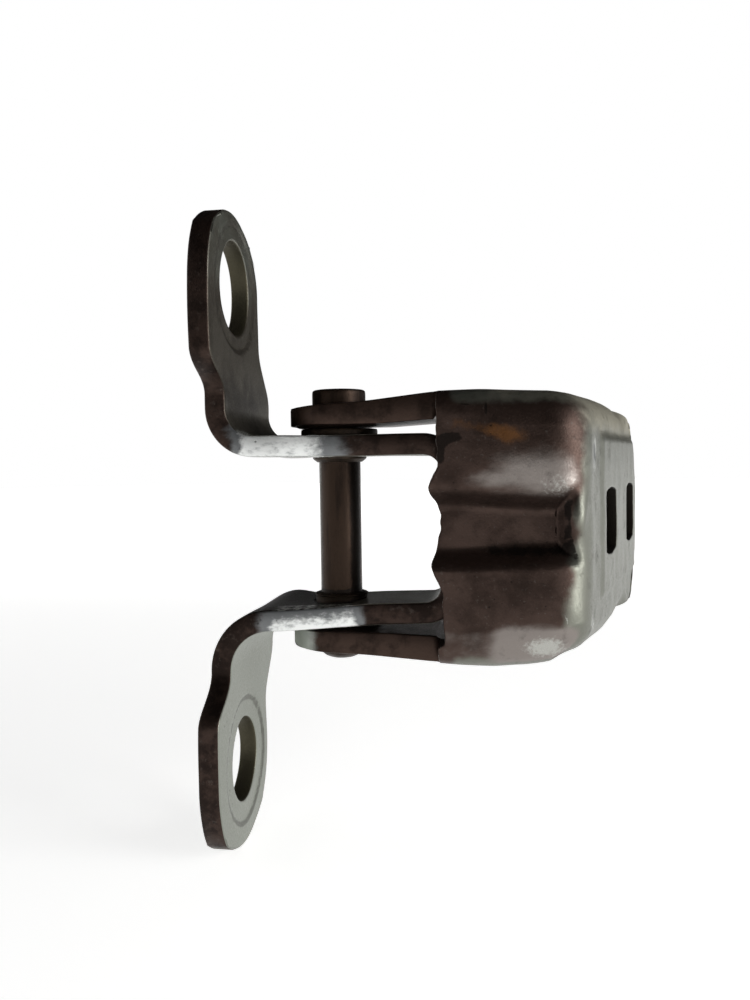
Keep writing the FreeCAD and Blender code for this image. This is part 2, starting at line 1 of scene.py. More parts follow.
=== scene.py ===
"""A pressed-steel vehicle door hinge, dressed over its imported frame.

The frame's origin is on the pin's axis, half way between the leaves' arms: +X towards the door
leaf's shell, +Y away from its front wall, +Z up the pin. Sizes in the classes are millimetres, and
meshes are metres. Every new piece is worked out on a numpy grid: a sheet part is two skins of the
same grid joined along their edges, and a turned part is a profile carried round the pin's axis.
"""
import logging
import math
from dataclasses import dataclass
from enum import Enum
from typing import Any, Callable, Sequence

import bpy
import numpy as np
from mathutils import Matrix, Vector


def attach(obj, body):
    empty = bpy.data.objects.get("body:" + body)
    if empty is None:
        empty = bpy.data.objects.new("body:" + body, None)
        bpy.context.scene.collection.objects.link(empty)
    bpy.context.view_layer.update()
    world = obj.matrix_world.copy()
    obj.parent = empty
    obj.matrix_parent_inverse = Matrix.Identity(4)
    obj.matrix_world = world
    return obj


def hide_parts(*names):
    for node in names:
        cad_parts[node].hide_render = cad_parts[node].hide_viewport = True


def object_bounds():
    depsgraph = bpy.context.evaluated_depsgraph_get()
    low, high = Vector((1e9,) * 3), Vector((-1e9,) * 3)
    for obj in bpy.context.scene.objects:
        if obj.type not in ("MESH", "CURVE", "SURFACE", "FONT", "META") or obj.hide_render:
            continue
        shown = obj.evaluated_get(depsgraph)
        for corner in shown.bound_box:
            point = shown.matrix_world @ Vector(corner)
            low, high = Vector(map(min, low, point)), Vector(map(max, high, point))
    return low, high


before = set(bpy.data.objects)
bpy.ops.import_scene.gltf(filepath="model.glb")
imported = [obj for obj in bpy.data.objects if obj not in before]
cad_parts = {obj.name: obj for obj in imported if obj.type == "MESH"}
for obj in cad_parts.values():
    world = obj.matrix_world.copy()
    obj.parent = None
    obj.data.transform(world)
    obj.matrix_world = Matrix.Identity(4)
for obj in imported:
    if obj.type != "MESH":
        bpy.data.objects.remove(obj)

Array = np.ndarray
MM = 0.001
CAD_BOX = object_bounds()
log = logging.getLogger("door_hinge")


class Face(Enum):
    """Which of a sheet piece's two materials a face takes."""

    SKIN = 0
    SHEARED = 1


class End(Enum):
    """Upper or lower end of the hinge, with the sign of its heights."""

    UPPER = 1.0
    LOWER = -1.0


# ---------------------------------------------------------------- numbers on arrays

def ease(x: Array) -> Array:
    """Smooth step: 0 below 0, 1 above 1, and 3x^2 - 2x^3 between."""
    t = np.clip(x, 0.0, 1.0)
    return t * t * (3.0 - 2.0 * t)


def mix(a: Any, b: Any, share: Any) -> Any:
    """Straight blend from a to b as share goes from 0 to 1."""
    return a + (b - a) * share


def spot(points: Array, centre: Sequence[float], radii: Sequence[float]) -> Array:
    """Soft ellipsoid: 1 at centre, falling as exp(-d^2), where d is the distance over radii."""
    d = (points - np.asarray(centre, float)) / np.asarray(radii, float)
    return np.exp(-(d * d).sum(axis=-1))


def ripple(a: Array, b: Array, size: float, seed: int) -> Array:
    """Smooth unevenness between about -1 and 1.

    The sum of six sine waves in the plane of a and b, whose directions, phases and lengths, from
    size down to a third of it, come from a seeded generator, divided by three.

    Args:
        a: first coordinate, in mm.
        b: second coordinate, in mm.
        size: the longest wave, in mm.
        seed: picks the waves.

    Returns:
        An array of a's shape.
    """
    rng = np.random.default_rng(seed)
    total = np.zeros(np.broadcast(a, b).shape)
    for turn, phase, shrink in zip(rng.uniform(0, math.tau, 6), rng.uniform(0, math.tau, 6),
                                   rng.uniform(1.0, 3.0, 6)):
        wave = math.tau * shrink / size
        total = total + np.sin(wave * (a * math.cos(turn) + b * math.sin(turn)) + phase)
    return total / 3.0


def ramp_through(places: Array, stops: Sequence[tuple[float, float]], soft: float = 0.0) -> Array:
    """Value read from straight runs between stops, with their corners rounded.

    Rounding is the mean of the straight runs over a window of width soft round each place.

    Args:
        places: where to read.
        stops: (place, value) pairs in rising order.
        soft: the window's width.

    Returns:
        An array of the shape of places.
    """
    at, value = np.array(stops, float).T
    if soft <= 0:
        return np.interp(places, at, value)
    window = np.linspace(-0.5, 0.5, 9) * soft
    return np.interp(places[..., None] + window, at, value).mean(axis=-1)


# ---------------------------------------------------------------- meshes

def add_mesh(name: str, points: Array, faces: list[Array]) -> bpy.types.Object:
    """Object at the origin with these points and faces, smooth-shaded, its faces turned outwards.

    The volume under the faces, one sixth of the sum of a . (b x c) over their triangles, is
    positive when they point outwards. Where it comes out negative every face is turned over.

    Args:
        name: the piece's name.
        points: (n, 3) coordinates in mm.
        faces: arrays of corner numbers, one array for each number of corners.

    Returns:
        The new object, linked to the scene.
    """
    volume = 0.0
    for group in faces:
        corner = points[group]
        for k in range(1, group.shape[1] - 1):
            volume += np.einsum("ij,ij->", corner[:, 0], np.cross(corner[:, k], corner[:, k + 1]))
    if volume < 0:
        faces = [group[:, ::-1] for group in faces]
    used = np.unique(np.concatenate([group.ravel() for group in faces]))
    number = np.full(len(points), -1)
    number[used] = np.arange(len(used))
    mesh = bpy.data.meshes.new(name)
    mesh.from_pydata((points[used] * MM).tolist(), [],
                     [row for group in faces for row in number[group].tolist()])
    mesh.shade_smooth()
    obj = bpy.data.objects.new(name, mesh)
    bpy.context.scene.collection.objects.link(obj)
    return obj


def add_plate(name: str, near: Array, far: Array, kept: Array) -> bpy.types.Object:
    """Sheet-metal piece from its two skins.

    Both skins are the same (rows, columns) grid. Each kept cell gives a face on the near skin and
    a reversed one on the far skin, and each edge that only one kept cell uses gives a face that
    joins the skins there. The skins' faces take the first material, and the joining ones, which
    are the sheet's sheared edges, take the second.

    Args:
        name: the piece's name.
        near: (rows, columns, 3) points of one skin, in mm.
        far: the other skin's points.
        kept: (rows - 1, columns - 1) True where there is metal.

    Returns:
        The new object.
    """
    rows, columns = near.shape[:2]
    number = np.arange(rows * columns).reshape(rows, columns)
    cells = np.stack([number[:-1, :-1], number[1:, :-1], number[1:, 1:], number[:-1, 1:]], axis=-1)
    cells = cells[kept]
    starts = cells.ravel()
    ends = np.roll(cells, -1, axis=1).ravel()
    count = rows * columns
    single = ~np.isin(starts * count + ends, ends * count + starts)
    a, b = starts[single], ends[single]
    rims = np.stack([b, a, a + count, b + count], axis=-1)
    quads = np.concatenate([cells, cells[:, ::-1] + count, rims])
    points = np.concatenate([near.reshape(-1, 3), far.reshape(-1, 3)])
    plate = add_mesh(name, points, [quads])
    side = np.repeat([Face.SKIN.value, Face.SHEARED.value], [2 * len(cells), len(rims)])
    plate.data.polygons.foreach_set("material_index", side.astype(np.int32))
    return plate


def add_turned(name: str, profile: Sequence[tuple[float, float]], closed: bool, sides: int = 72,
               wobble: Callable[[Array, Array], Array] | None = None) -> bpy.types.Object:
    """Piece turned round the pin's axis.

    The profile's corners are first carried to a smooth line, by cutting each corner at a quarter
    and three quarters of its runs twice over, and each of its points goes round the axis as
    (r cos a, r sin a, z).

    Args:
        name: the piece's name.
        profile: (radius, height) pairs in mm, from the lower pole to the upper one, or round a loop.
        closed: True where the profile is a loop, as in a ring.
        sides: steps round the axis.
        wobble: adds to the radius, from angle and height.

    Returns:
        The new object.
    """
    line = np.array(profile, float)
    for _ in range(2):
        after = np.roll(line, -1, axis=0) if closed else line[1:]
        before = line if closed else line[:-1]
        cut = np.stack([mix(before, after, 0.25), mix(before, after, 0.75)], axis=1).reshape(-1, 2)
        line = cut if closed else np.vstack([line[:1], cut, line[-1:]])
    turn = np.linspace(0, math.tau, sides, endpoint=False)
    ring = line if closed else line[1:-1]
    radius = np.repeat(ring[:, :1], sides, axis=1)
    height = np.repeat(ring[:, 1:], sides, axis=1)
    if wobble is not None:
        radius = radius + wobble(turn[None, :], height)
    points = np.stack([radius * np.cos(turn), radius * np.sin(turn), height], axis=-1)
    number = np.arange(points.shape[0] * sides).reshape(-1, sides)
    onward = np.roll(number, -1, axis=1)
    if closed:
        low, high, low_on, high_on = number, np.roll(number, -1, 0), onward, np.roll(onward, -1, 0)
    else:
        low, high, low_on, high_on = number[:-1], number[1:], onward[:-1], onward[1:]
    faces = [np.stack([low, low_on, high_on, high], axis=-1).reshape(-1, 4)]
    points = points.reshape(-1, 3)
    if not closed:
        poles = np.array([[0.0, 0.0, line[0, 1]], [0.0, 0.0, line[-1, 1]]])
        first = len(points)
        points = np.concatenate([points, poles])
        faces.append(np.concatenate([
            np.stack([onward[0], number[0], np.full(sides, first)], axis=-1),
            np.stack([number[-1], onward[-1], np.full(sides, first + 1)], axis=-1)]))
    return add_mesh(name, points, faces)


def soften_edges(obj: bpy.types.Object, width: float) -> None:
    """Rounds every edge that turns by more than 50 degrees, which the sheared edges do.

    Args:
        obj: the piece.
        width: width of the rounding, in mm.
    """
    bevel = obj.modifiers.new("worn_edges", "BEVEL")
    bevel.width = width * MM
    bevel.segments = 2
    bevel.limit_method = "ANGLE"
    bevel.angle_limit = math.radians(50)
    bevel.use_clamp_overlap = False


def paint(obj: bpy.types.Object, name: str, mask: Callable[[Array], Array]) -> None:
    """Stores a mask on the vertices.

    Args:
        obj: the piece.
        name: the attribute's name.
        mask: gives a value from 0 to 1 for (n, 3) points in mm.
    """
    mesh = obj.data
    points = np.empty(len(mesh.vertices) * 3, np.float32)
    mesh.vertices.foreach_get("co", points)
    values = np.clip(mask(points.reshape(-1, 3).astype(float) / MM), 0.0, 1.0)
    layer = mesh.attributes.new(name, "FLOAT", "POINT")
    layer.data.foreach_set("value", values.astype(np.float32))


def pierce(a: Array, b: Array, block: tuple[int, int, int, int], centre: tuple[float, float],
           half: tuple[float, float], roundness: float, reach: float = 2.2) -> tuple[Array, Array]:
    """Moves grid lines so that a block of cells takes a hole's outline.

    Cells are counted from the block's middle, and m is the larger of the two counts over the
    block's half sizes, so that m is 1 on the block's edge. The square ring at m is carried to the
    hole's outline grown by m, where the outline is a blend from square to circle, and from m = 1 to
    m = reach the points return to where they were.

    Args:
        a: first coordinate of the grid, in mm.
        b: second coordinate.
        block: first row, last row, first column and last column of the block's edge.
        centre: the hole's middle.
        half: its half sizes.
        roundness: 0 for a rectangle, 1 for an ellipse.
        reach: how far the lines are moved, in block half sizes.

    Returns:
        The moved coordinates.
    """
    row_0, row_1, column_0, column_1 = block
    rows, columns = np.meshgrid(np.arange(a.shape[0]), np.arange(a.shape[1]), indexing="ij")
    p = (rows - (row_0 + row_1) / 2) / ((row_1 - row_0) / 2)
    q = (columns - (column_0 + column_1) / 2) / ((column_1 - column_0) / 2)
    m = np.maximum(np.maximum(np.abs(p), np.abs(q)), 1e-6)
    u, v = p / m, q / m
    round_u, round_v = u * np.sqrt(1 - v * v / 2), v * np.sqrt(1 - u * u / 2)
    way_a = np.sign(a[row_1, column_0] - a[row_0, column_0])
    way_b = np.sign(b[row_0, column_1] - b[row_0, column_0])
    ring_a = centre[0] + half[0] * m * mix(u, round_u, roundness) * way_a
    ring_b = centre[1] + half[1] * m * mix(v, round_v, roundness) * way_b
    back = ease((m - 1.0) / (reach - 1.0))
    return mix(ring_a, a, back), mix(ring_b, b, back)


def nearest(places: Array, value: float) -> int:
    """Number of the place closest to value."""
    return int(np.abs(places - value).argmin())


@dataclass(frozen=True)
class BentLine:
    """Line through corners with each inner corner rounded by its radius, read by its length."""

    corners: tuple[tuple[float, float], ...]
    radii: tuple[float, ...]
    steps: int = 60

    def samples(self) -> tuple[Array, Array, Array]:
        """Fine points along the line.

        Between corners the line is straight, and at a corner it follows a circle of the corner's
        radius, which starts and ends radius * tan(half the turn) from the corner.

        Returns:
            Length from the start, (n, 2) points and (n, 2) unit directions.
        """
        corners = np.array(self.corners, float)
        points, ways = [], []
        last = corners[0]
        for k in range(1, len(corners) - 1):
            come = corners[k] - corners[k - 1]
            go = corners[k + 1] - corners[k]
            come, go = come / np.linalg.norm(come), go / np.linalg.norm(go)
            cross = come[0] * go[1] - come[1] * go[0]
            turn = math.atan2(cross, float(come @ go))
            back = self.radii[k - 1] * math.tan(abs(turn) / 2)
            first = corners[k] - come * back
            points.append(mix(last, first, np.linspace(0, 1, self.steps)[:-1, None]))
            ways.append(np.repeat(come[None], self.steps - 1, axis=0))
            side = math.copysign(1.0, turn)
            centre = first + side * self.radii[k - 1] * np.array([-come[1], come[0]])
            swing = np.linspace(0, turn, self.steps)[:-1, None]
            start = first - centre
            square = np.array([-start[1], start[0]])
            points.append(centre + np.cos(swing) * start + np.sin(swing) * square)
            ways.append(np.cos(swing) * come + np.sin(swing) * np.array([-come[1], come[0]]))
            last = corners[k] + go * back
        points.append(mix(last, corners[-1], np.linspace(0, 1, self.steps)[:, None]))
        ways.append(np.repeat(go[None], self.steps, axis=0))
        points, ways = np.concatenate(points), np.concatenate(ways)
        length = np.concatenate([[0.0], np.cumsum(np.linalg.norm(np.diff(points, axis=0), axis=1))])
        return length, points, ways

    def read(self, length: Array) -> tuple[Array, Array]:
        """Reads the line.

        Args:
            length: places along it.

        Returns:
            Points and unit directions there, each with a last axis of 2.
        """
        at, points, ways = self.samples()
        place = np.stack([np.interp(length, at, points[:, k]) for k in (0, 1)], axis=-1)
        way = np.stack([np.interp(length, at, ways[:, k]) for k in (0, 1)], axis=-1)
        return place, way / np.linalg.norm(way, axis=-1, keepdims=True)

    def length_at(self, axis: int, value: float, part: int) -> float:
        """Finds a place on one of the line's straight runs.

        Args:
            axis: which coordinate is given, 0 or 1.
            value: the coordinate.
            part: number of the corner that the run starts at.

        Returns:
            The length from the line's start to that place.
        """
        corners = np.array(self.corners, float)
        start, end = corners[part], corners[part + 1]
        share = (value - start[axis]) / (end[axis] - start[axis])
        target = start + (end - start) * share
        at, points, _ = self.samples()
        return float(at[np.linalg.norm(points - target, axis=1).argmin()])


# ---------------------------------------------------------------- finishes

def linear(code: str) -> tuple[float, float, float, float]:
    """Linear colour, with alpha 1, of an sRGB hex code."""
    channels = [int(code[k:k + 2], 16) / 255 for k in (1, 3, 5)]
    return (*[c / 12.92 if c <= 0.04045 else ((c + 0.055) / 1.055) ** 2.4 for c in channels], 1.0)


def add_node(tree: bpy.types.NodeTree, kind: str, settings: dict[str, Any] | None = None,
             **inputs: Any) -> bpy.types.Node:
    """Adds a node.

    Args:
        tree: the material's node tree.
        kind: the node type without its ShaderNode prefix.
        settings: properties of the node, by name.
        **inputs: sockets by name, with _ for a space and a trailing number for a socket's number; a
            value that is a socket is linked, and any other is set.

    Returns:
        The node.
    """
    node = tree.nodes.new(f"ShaderNode{kind}")
    for key, value in (settings or {}).items():
        setattr(node, key, value)
    for key, value in inputs.items():
        socket = node.inputs[int(key[3:])] if key.startswith("in_") else node.inputs[key.replace("_", " ")]
        if isinstance(value, bpy.types.NodeSocket):
            tree.links.new(value, socket)
        else:
            socket.default_value = value
    return node


# A painted mask is raised by this before noise is added, so that a full one covers everywhere.
MASK_LIFT = 1.6


@dataclass(frozen=True)
class Layer:
    """One colour over another: a painted mask, broken up by noise, gives how much of it shows.

    The noise's patches are size mm wide, and stretch scales them along each axis. The colour starts
    to show where mask and noise pass low and is at its most at high.
    """

    colour: str
    mask: str = ""
    size: float = 3.0
    low: float = 0.45
    high: float = 0.6
    most: float = 1.0
    rough: float = 0.5
    detail: float = 6.0
    stretch: tuple[float, float, float] = (1.0, 1.0, 1.0)


@dataclass(frozen=True)
class WornSteel:
    """Metal under a thin dull film, handled and scuffed.

    Most of the light it returns is a broad reflection in the film's colour, and where the film is
    rubbed through, the metal beneath is bright. Colours vary over centimetres from handling and over
    millimetres from scuffs, and some layers are painted light, shade and highlights instead. grain,
    dents and pit_size are in mm, as are the two bump depths. Real grain is finer than the grain size
    here, which is drawn coarse enough to show.
    """

    name: str
    base: str
    rough: float = 0.45
    metallic: float = 0.85
    layers: tuple[Layer, ...] = ()
    grain: float = 0.35
    grain_depth: float = 0.03
    dents: float = 2.5
    dent_depth: float = 0.05
    pit_size: float = 1.6
    pit_colour: str = "#1a1512"
    pits: float = 0.3

    def make(self) -> bpy.types.Material:
        """Builds the nodes: base, then each layer over it, then pits, with grain and dents as bump.

        Returns:
            The material.
        """
        material = bpy.data.materials.new(self.name)
        material.use_nodes = True
        tree = material.node_tree
        tree.nodes.clear()
        place = add_node(tree, "TexCoord").outputs["Object"]
        colour: Any = linear(self.base)
        rough: Any = self.rough
        for layer in self.layers:
            share = self.share_of(tree, place, layer)
            tint = add_node(tree, "Mix", {"data_type": "RGBA"}, Factor=share, in_6=colour,
                            in_7=linear(layer.colour))
            colour = tint.outputs[2]
            rough = add_node(tree, "Mix", {"data_type": "FLOAT"}, Factor=share, in_2=rough,
                             in_3=layer.rough).outputs[0]
        # Pits lie round the points of a Voronoi pattern, about pit_size apart. A noise five times as
        # broad sets how wide each one is, and leaves most places without any.
        cells = add_node(tree, "TexVoronoi", {"feature": "F1"}, Vector=place,
                         Scale=1 / (self.pit_size * MM))
        chance = add_node(tree, "TexNoise", Vector=place, Scale=1 / (self.pit_size * 5 * MM),
                          Detail=3.0)
        edge = add_node(tree, "MapRange", Value=chance.outputs[0], From_Min=0.47, From_Max=0.75,
                        To_Min=0.0, To_Max=self.pits)
        inside = add_node(tree, "MapRange", {"interpolation_type": "SMOOTHSTEP"},
                          Value=cells.outputs["Distance"], From_Min=edge.outputs[0], From_Max=-0.05,
                          To_Min=0.0, To_Max=1.0)
        colour = add_node(tree, "Mix", {"data_type": "RGBA"}, Factor=inside.outputs[0], in_6=colour,
                          in_7=linear(self.pit_colour)).outputs[2]
        fine = add_node(tree, "TexNoise", Vector=place, Scale=1 / (self.grain * MM), Detail=4.0)
        broad = add_node(tree, "TexNoise", Vector=place, Scale=1 / (self.dents * MM), Detail=3.0)
        speckle = add_node(tree, "MapRange", Value=fine.outputs[0], From_Min=0.3, From_Max=0.7,
                           To_Min=-0.08, To_Max=0.08)
        rough = add_node(tree, "Math", {"operation": "ADD", "use_clamp": True}, in_0=rough,
                         in_1=speckle.outputs[0])
        hollow = add_node(tree, "Math", {"operation": "MULTIPLY_ADD"}, in_0=inside.outputs[0],
                          in_1=-1.5, in_2=broad.outputs[0])
        dents = add_node(tree, "Bump", Height=hollow.outputs[0], Distance=self.dent_depth * MM,
                         Strength=1.0)
        grain = add_node(tree, "Bump", Height=fine.outputs[0], Distance=self.grain_depth * MM,
                         Strength=1.0, Normal=dents.outputs[0])
        shader = add_node(tree, "BsdfPrincipled", Base_Color=colour, Roughness=rough.outputs[0],
                          Metallic=self.metallic, Normal=grain.outputs[0])
        add_node(tree, "OutputMaterial", Surface=shader.outputs[0])
        return material

    def share_of(self, tree: bpy.types.NodeTree, place: bpy.types.NodeSocket, layer: Layer) -> Any:
        """How much of a layer shows: noise, moved up by the painted mask, cut off softly.

        Args:
            tree: the material's node tree.
            place: Object coordinates.
            layer: the layer.

        Returns:
            A socket with the share, from 0 to the layer's most.
        """
        if layer.stretch != (1.0, 1.0, 1.0):
            place = add_node(tree, "Mapping", Vector=place, Scale=layer.stretch).outputs[0]
        noise = add_node(tree, "TexNoise", Vector=place, Scale=1 / (layer.size * MM), Detail=layer.detail,
                         Roughness=0.62)
        if not layer.mask:
            cut = add_node(tree, "MapRange", {"interpolation_type": "SMOOTHSTEP"},
                           Value=noise.outputs[0], From_Min=layer.low, From_Max=layer.high,
                           To_Min=0.0, To_Max=layer.most)
            return cut.outputs[0]
        mask = add_node(tree, "Attribute", {"attribute_name": layer.mask}).outputs["Fac"]
        # The noise's middle is 0.5, so low and high count from there.
        lifted = add_node(tree, "Math", {"operation": "MULTIPLY_ADD"}, in_0=mask, in_1=MASK_LIFT,
                          in_2=noise.outputs[0])
        cut = add_node(tree, "MapRange", {"interpolation_type": "SMOOTHSTEP"},
                       Value=lifted.outputs[0], From_Min=0.5 + layer.low, From_Max=0.5 + layer.high,
                       To_Min=0.0, To_Max=layer.most)
        return cut.outputs[0]


def dress(obj: bpy.types.Object, *materials: bpy.types.Material) -> None:
    """Gives a piece its materials, in the order of its faces' material numbers."""
    for material in materials:
        obj.data.materials.append(material)


# ---------------------------------------------------------------- pillar leaf

@dataclass
class PillarLeaf:
    """The leaf that bolts to the pillar: one folded strip of two flanges, two arms and a web.

    Its mid surface is carried along a bent line in the XZ plane, and its near and far edges in Y
    vary along the strip.
    """

    node: str = "inner_leaf"
    sheet: float = 3.9
    flange_x: float = -20.45
    arm_z: float = 15.25
    web_x: float = 22.05
    sag: float = 1.9
    top: float = 59.2
    bottom: float = -61.0
    bolt_y: float = -4.8
    bolt_z: float = 45.3
    upper_bolt: float = 8.8
    lower_bolt: float = 7.9
    washer: float = 11.9
    pad_front: float = -21.1
    pad_back: float = 10.0
    neck_front: float = -13.3
    neck_back: float = 16.4
    arm_front: float = -9.3
    arm_back: float = 7.2
    web_front: float = -4.0
    pin_hole: float = 5.0
    seat_depth: float = 0.3
    columns: int = 46
    row_step: float = 0.55

    def line(self) -> BentLine:
        """The strip's middle line from the upper tip to the lower tip."""
        x, z, web = self.flange_x, self.arm_z, self.web_x
        return BentLine(((x, self.top), (x, z), (web, z), (web, -z), (x, -z - self.sag), (x, self.bottom)),
                        (7.0, 4.95, 4.95, 9.45))

    def edges(self, line: BentLine, length: Array) -> tuple[Array, Array]:
        """Front and back edge of the strip: straight runs between stops, with rounded corners.

        Args:
            line: the strip's middle line.
            length: places along it.

        Returns:
            Y of the front edge and Y of the back edge at each place.
        """
        up, down = (lambda z: line.length_at(1, z, 0)), (lambda z: line.length_at(1, z, 4))
        over, under = (lambda x: line.length_at(0, x, 1)), (lambda x: line.length_at(0, x, 3))
        web = lambda z: line.length_at(1, z, 2)
        front = ramp_through(length, [
            (up(31.2), self.pad_front), (up(26.5), self.neck_front), (over(-9.4), self.neck_front),
            (over(8.4), self.arm_front), (web(10.6), self.arm_front), (web(8.4), self.web_front),
            (web(-8.4), self.web_front), (web(-10.6), self.arm_front), (under(8.4), self.arm_front),
            (under(-9.4), self.neck_front), (down(-27.7), self.neck_front), (down(-33.4), self.pad_front)],
            3.0)
        back = ramp_through(length, [
            (up(33.7), self.pad_back), (up(25.2), self.neck_back + 0.5), (over(-11.9), self.neck_back - 0.4),
            (over(-4.0), self.arm_back), (under(-4.0), self.arm_back), (under(-11.9), self.neck_back - 1),
            (down(-28.2), self.neck_back), (down(-35.7), self.pad_back)], 4.0)
        return front, back

    def build(self) -> bpy.types.Object:
        """The strip as a plate of two skins.

        Rows run along the strip and columns across it. Past a bolt hole's middle the rectangle of
        cells is carried to a half disc by x = a sqrt(1 - b^2 / 2), y = b sqrt(1 - a^2 / 2), which
        rounds the pad's tip, and the upper tip leans forward by a^2. Each skin is half the sheet
        away from the middle line, square to it, and the washer seats are sunk into the flanges'
        inner faces.

        Returns:
            The leaf.
        """
        line = self.line()
        total = line.samples()[0][-1]
        rows = int(total / self.row_step)
        along = np.linspace(0, total, rows)
        front, back = self.edges(line, along)
        across = np.linspace(-1, 1, self.columns)
        length = np.repeat(along[:, None], self.columns, axis=1)
        middle, half = (front + back) / 2, (back - front) / 2
        depth = middle[:, None] + half[:, None] * across
        # Of each pad: where its tip starts, which way it goes along the strip, how square the tip is
        # and how far it leans along Y.
        tips = ((self.bolt_z, -1, 0.0, -1.1), (-self.bolt_z - 0.6, 1, 0.16, 0.0))
        for end, sense, squareness, lean in tips:
            start = line.length_at(1, end, 0 if sense < 0 else 4)
            reach = start if sense < 0 else total - start
            a = np.clip(sense * (length - start) / reach, 0, 1)
            b = np.repeat(across[None], rows, axis=0)
            capped = a > 0
            round_a, round_b = a * np.sqrt(1 - b * b / 2), b * np.sqrt(1 - a * a / 2)
            tip_half = (self.pad_back - self.pad_front) / 2
            tip_middle = (self.pad_back + self.pad_front) / 2
            tip_length = start + sense * reach * mix(round_a, a, squareness)
            tip_depth = tip_middle + tip_half * mix(round_b, b, squareness) + lean * a * a
            length = np.where(capped, tip_length, length)
            depth = np.where(capped, tip_depth, depth)
        kept = np.ones((rows - 1, self.columns - 1), bool)
        holes = [(line.length_at(1, self.bolt_z, 0), self.bolt_y, self.upper_bolt),
                 (line.length_at(1, -self.bolt_z, 4), self.bolt_y, self.lower_bolt),
                 (line.length_at(0, 0.0, 1), 0.0, self.pin_hole),
                 (line.length_at(0, 0.0, 3), 0.0, self.pin_hole)]
        for at, y, radius in holes:
            row = nearest(along, at)
            block = (nearest(along, at - radius * 0.9), nearest(along, at + radius * 0.9),
                     nearest(depth[row], y - radius * 0.9), nearest(depth[row], y + radius * 0.9))
            length, depth = pierce(length, depth, block, (at, y), (radius, radius), 1.0,
                                   1.6 if radius > self.pin_hole else 1.3)
            kept[block[0]:block[1], block[2]:block[3]] = False
        # Sheared edges waver by less than a tenth of a millimetre.
        edge = np.abs(across) ** 8
        depth = depth + 0.07 * edge * ripple(length, depth, 22.0, 3)
        place, way = line.read(length)
        normal = np.stack([way[..., 1], -way[..., 0]], axis=-1)
        sunk = np.zeros_like(length)
        for at, y, _ in holes[:2]:
            away = np.hypot(length - at, depth - y)
            sunk = np.maximum(sunk, self.seat_depth * (1 - ease((away - self.washer + 0.3) / 0.6)))
        # The strip is bowed by about a tenth of a millimetre over its length.
        bow = 0.12 * ripple(length, depth, 60.0, 5)
        near = place + normal * (self.sheet / 2 + bow)[..., None]
        far = place - normal * (self.sheet / 2 - bow - sunk)[..., None]
        lay = lambda skin: np.stack([skin[..., 0], depth, skin[..., 1]], axis=-1)
        leaf = add_plate("pillar_leaf", lay(near), lay(far), kept)
        soften_edges(leaf, 0.4)
        return leaf

    def dress(self, leaf: bpy.types.Object) -> None:
        """Paints where the film is rubbed bright, the painted light, highlight and shade, and gives the
        finish.

        Args:
            leaf: the leaf.
        """

        def worn_and_highlit(p: Array) -> Array:
            """Rubbed bright and a painted highlight: the front edges of both arms, beside the pin, brightest
            on the lower arm's lower half.

            Args:
                p: (n, 3) points in mm.

            Returns:
                The mask at each point.
            """
            x, y, z = p.T
            front = ease((-6.6 - y) / 1.0)
            over = (np.abs(z - 16.5) < 4.5) * ease((x + 19) / 4.0) * ease((7.5 - x) / 12.0)
            middle = -self.arm_z - self.sag * (self.web_x - x) / (self.web_x - self.flange_x)
            share = 0.58 + 0.42 * ease((middle - z) / 0.5 + 0.5)
            under = (np.abs(z + 17.2) < 4.5) * ease((x + 16) / 7.0) * ease((7.5 - x) / 4.0)
            return front * np.maximum(0.9 * over, share * under)

        def pale(p: Array) -> Array:
            """Painted light: paler on the lower flange, the upper one's tip and the lower arm by the web.

            Args:
                p: (n, 3) points in mm.

            Returns:
                The mask at each point.
            """
            z = p[:, 2]
            low = ease((-z - 17) / 4.0)
            high = 0.45 * ease((z - 34) / 18.0)
            return low + high + 0.4 * spot(p, (16, 0, -13.4), (7, 9, 1.5))

        def shade(p: Array) -> Array:
            """Painted shade: the top of the lower arm, and the inside of the upper bend.

            Args:
                p: (n, 3) points in mm.

            Returns:
                The mask at each point.
            """
            x, _, z = p.T
            arm = (np.abs(z + 13.8) < 1.9) * ease((5.5 - x) / 4.0)
            return arm + 0.6 * spot(p, (-19, 0, 24), (6, 30, 7))

        def seat_mark(p: Array) -> Array:
            """The ring that each washer's rim left.

            Args:
                p: (n, 3) points in mm.

            Returns:
                The mask at each point.
            """
            x, y, z = p.T
            away = np.hypot(np.abs(z) - self.bolt_z, y - self.bolt_y)
            return np.exp(-((away - self.washer) / 0.6) ** 2) * (x > -20)

        def bore(p: Array) -> Array:
            """Painted light: paler on the bolt holes' walls and the lower flange's tip.

            Args:
                p: (n, 3) points in mm.

            Returns:
                The mask at each point.
            """
            x, y, z = p.T
            inside = np.hypot(np.abs(z) - self.bolt_z, y - self.bolt_y) < 9.5
            return inside * (x < -18.0) + 0.6 * ease((-z - 56.5) / 2.0)

        for mask in (worn_and_highlit, pale, shade, seat_mark, bore):
            paint(leaf, mask.__name__, mask)
        # Hot-rolled strip, pressed and then phosphated: a thin grey film that dulls the steel's reflection,
        # with brown stains from oil and handling and a ring round each washer seat. Painted light makes it
        # paler on the lower flange, painted shade darkens the top of the lower arm and the upper bend, and
        # the arms' front edges are rubbed bright, with a painted highlight.
        skin = WornSteel(
            "phosphated_strip_steel", "#625d54", rough=0.42,
            layers=(
                Layer("#38322b", size=11.0, low=0.45, high=0.7, most=0.7, rough=0.5),
                Layer("#868980", mask="pale", size=6.0, low=0.3, high=1.1, rough=0.4),
                Layer("#75766f", size=1.1, low=0.56, high=0.72, most=0.35, rough=0.36),
                Layer("#1a1511", mask="shade", size=5.0, low=0.4, high=1.2, most=0.9, rough=0.55),
                Layer("#2f2a24", mask="seat_mark", size=2.5, low=0.55, high=1.2, most=0.5, rough=0.5),
                Layer("#c9cbc7", mask="worn_and_highlit", size=1.2, low=0.75, high=1.2, rough=0.3),
            ))
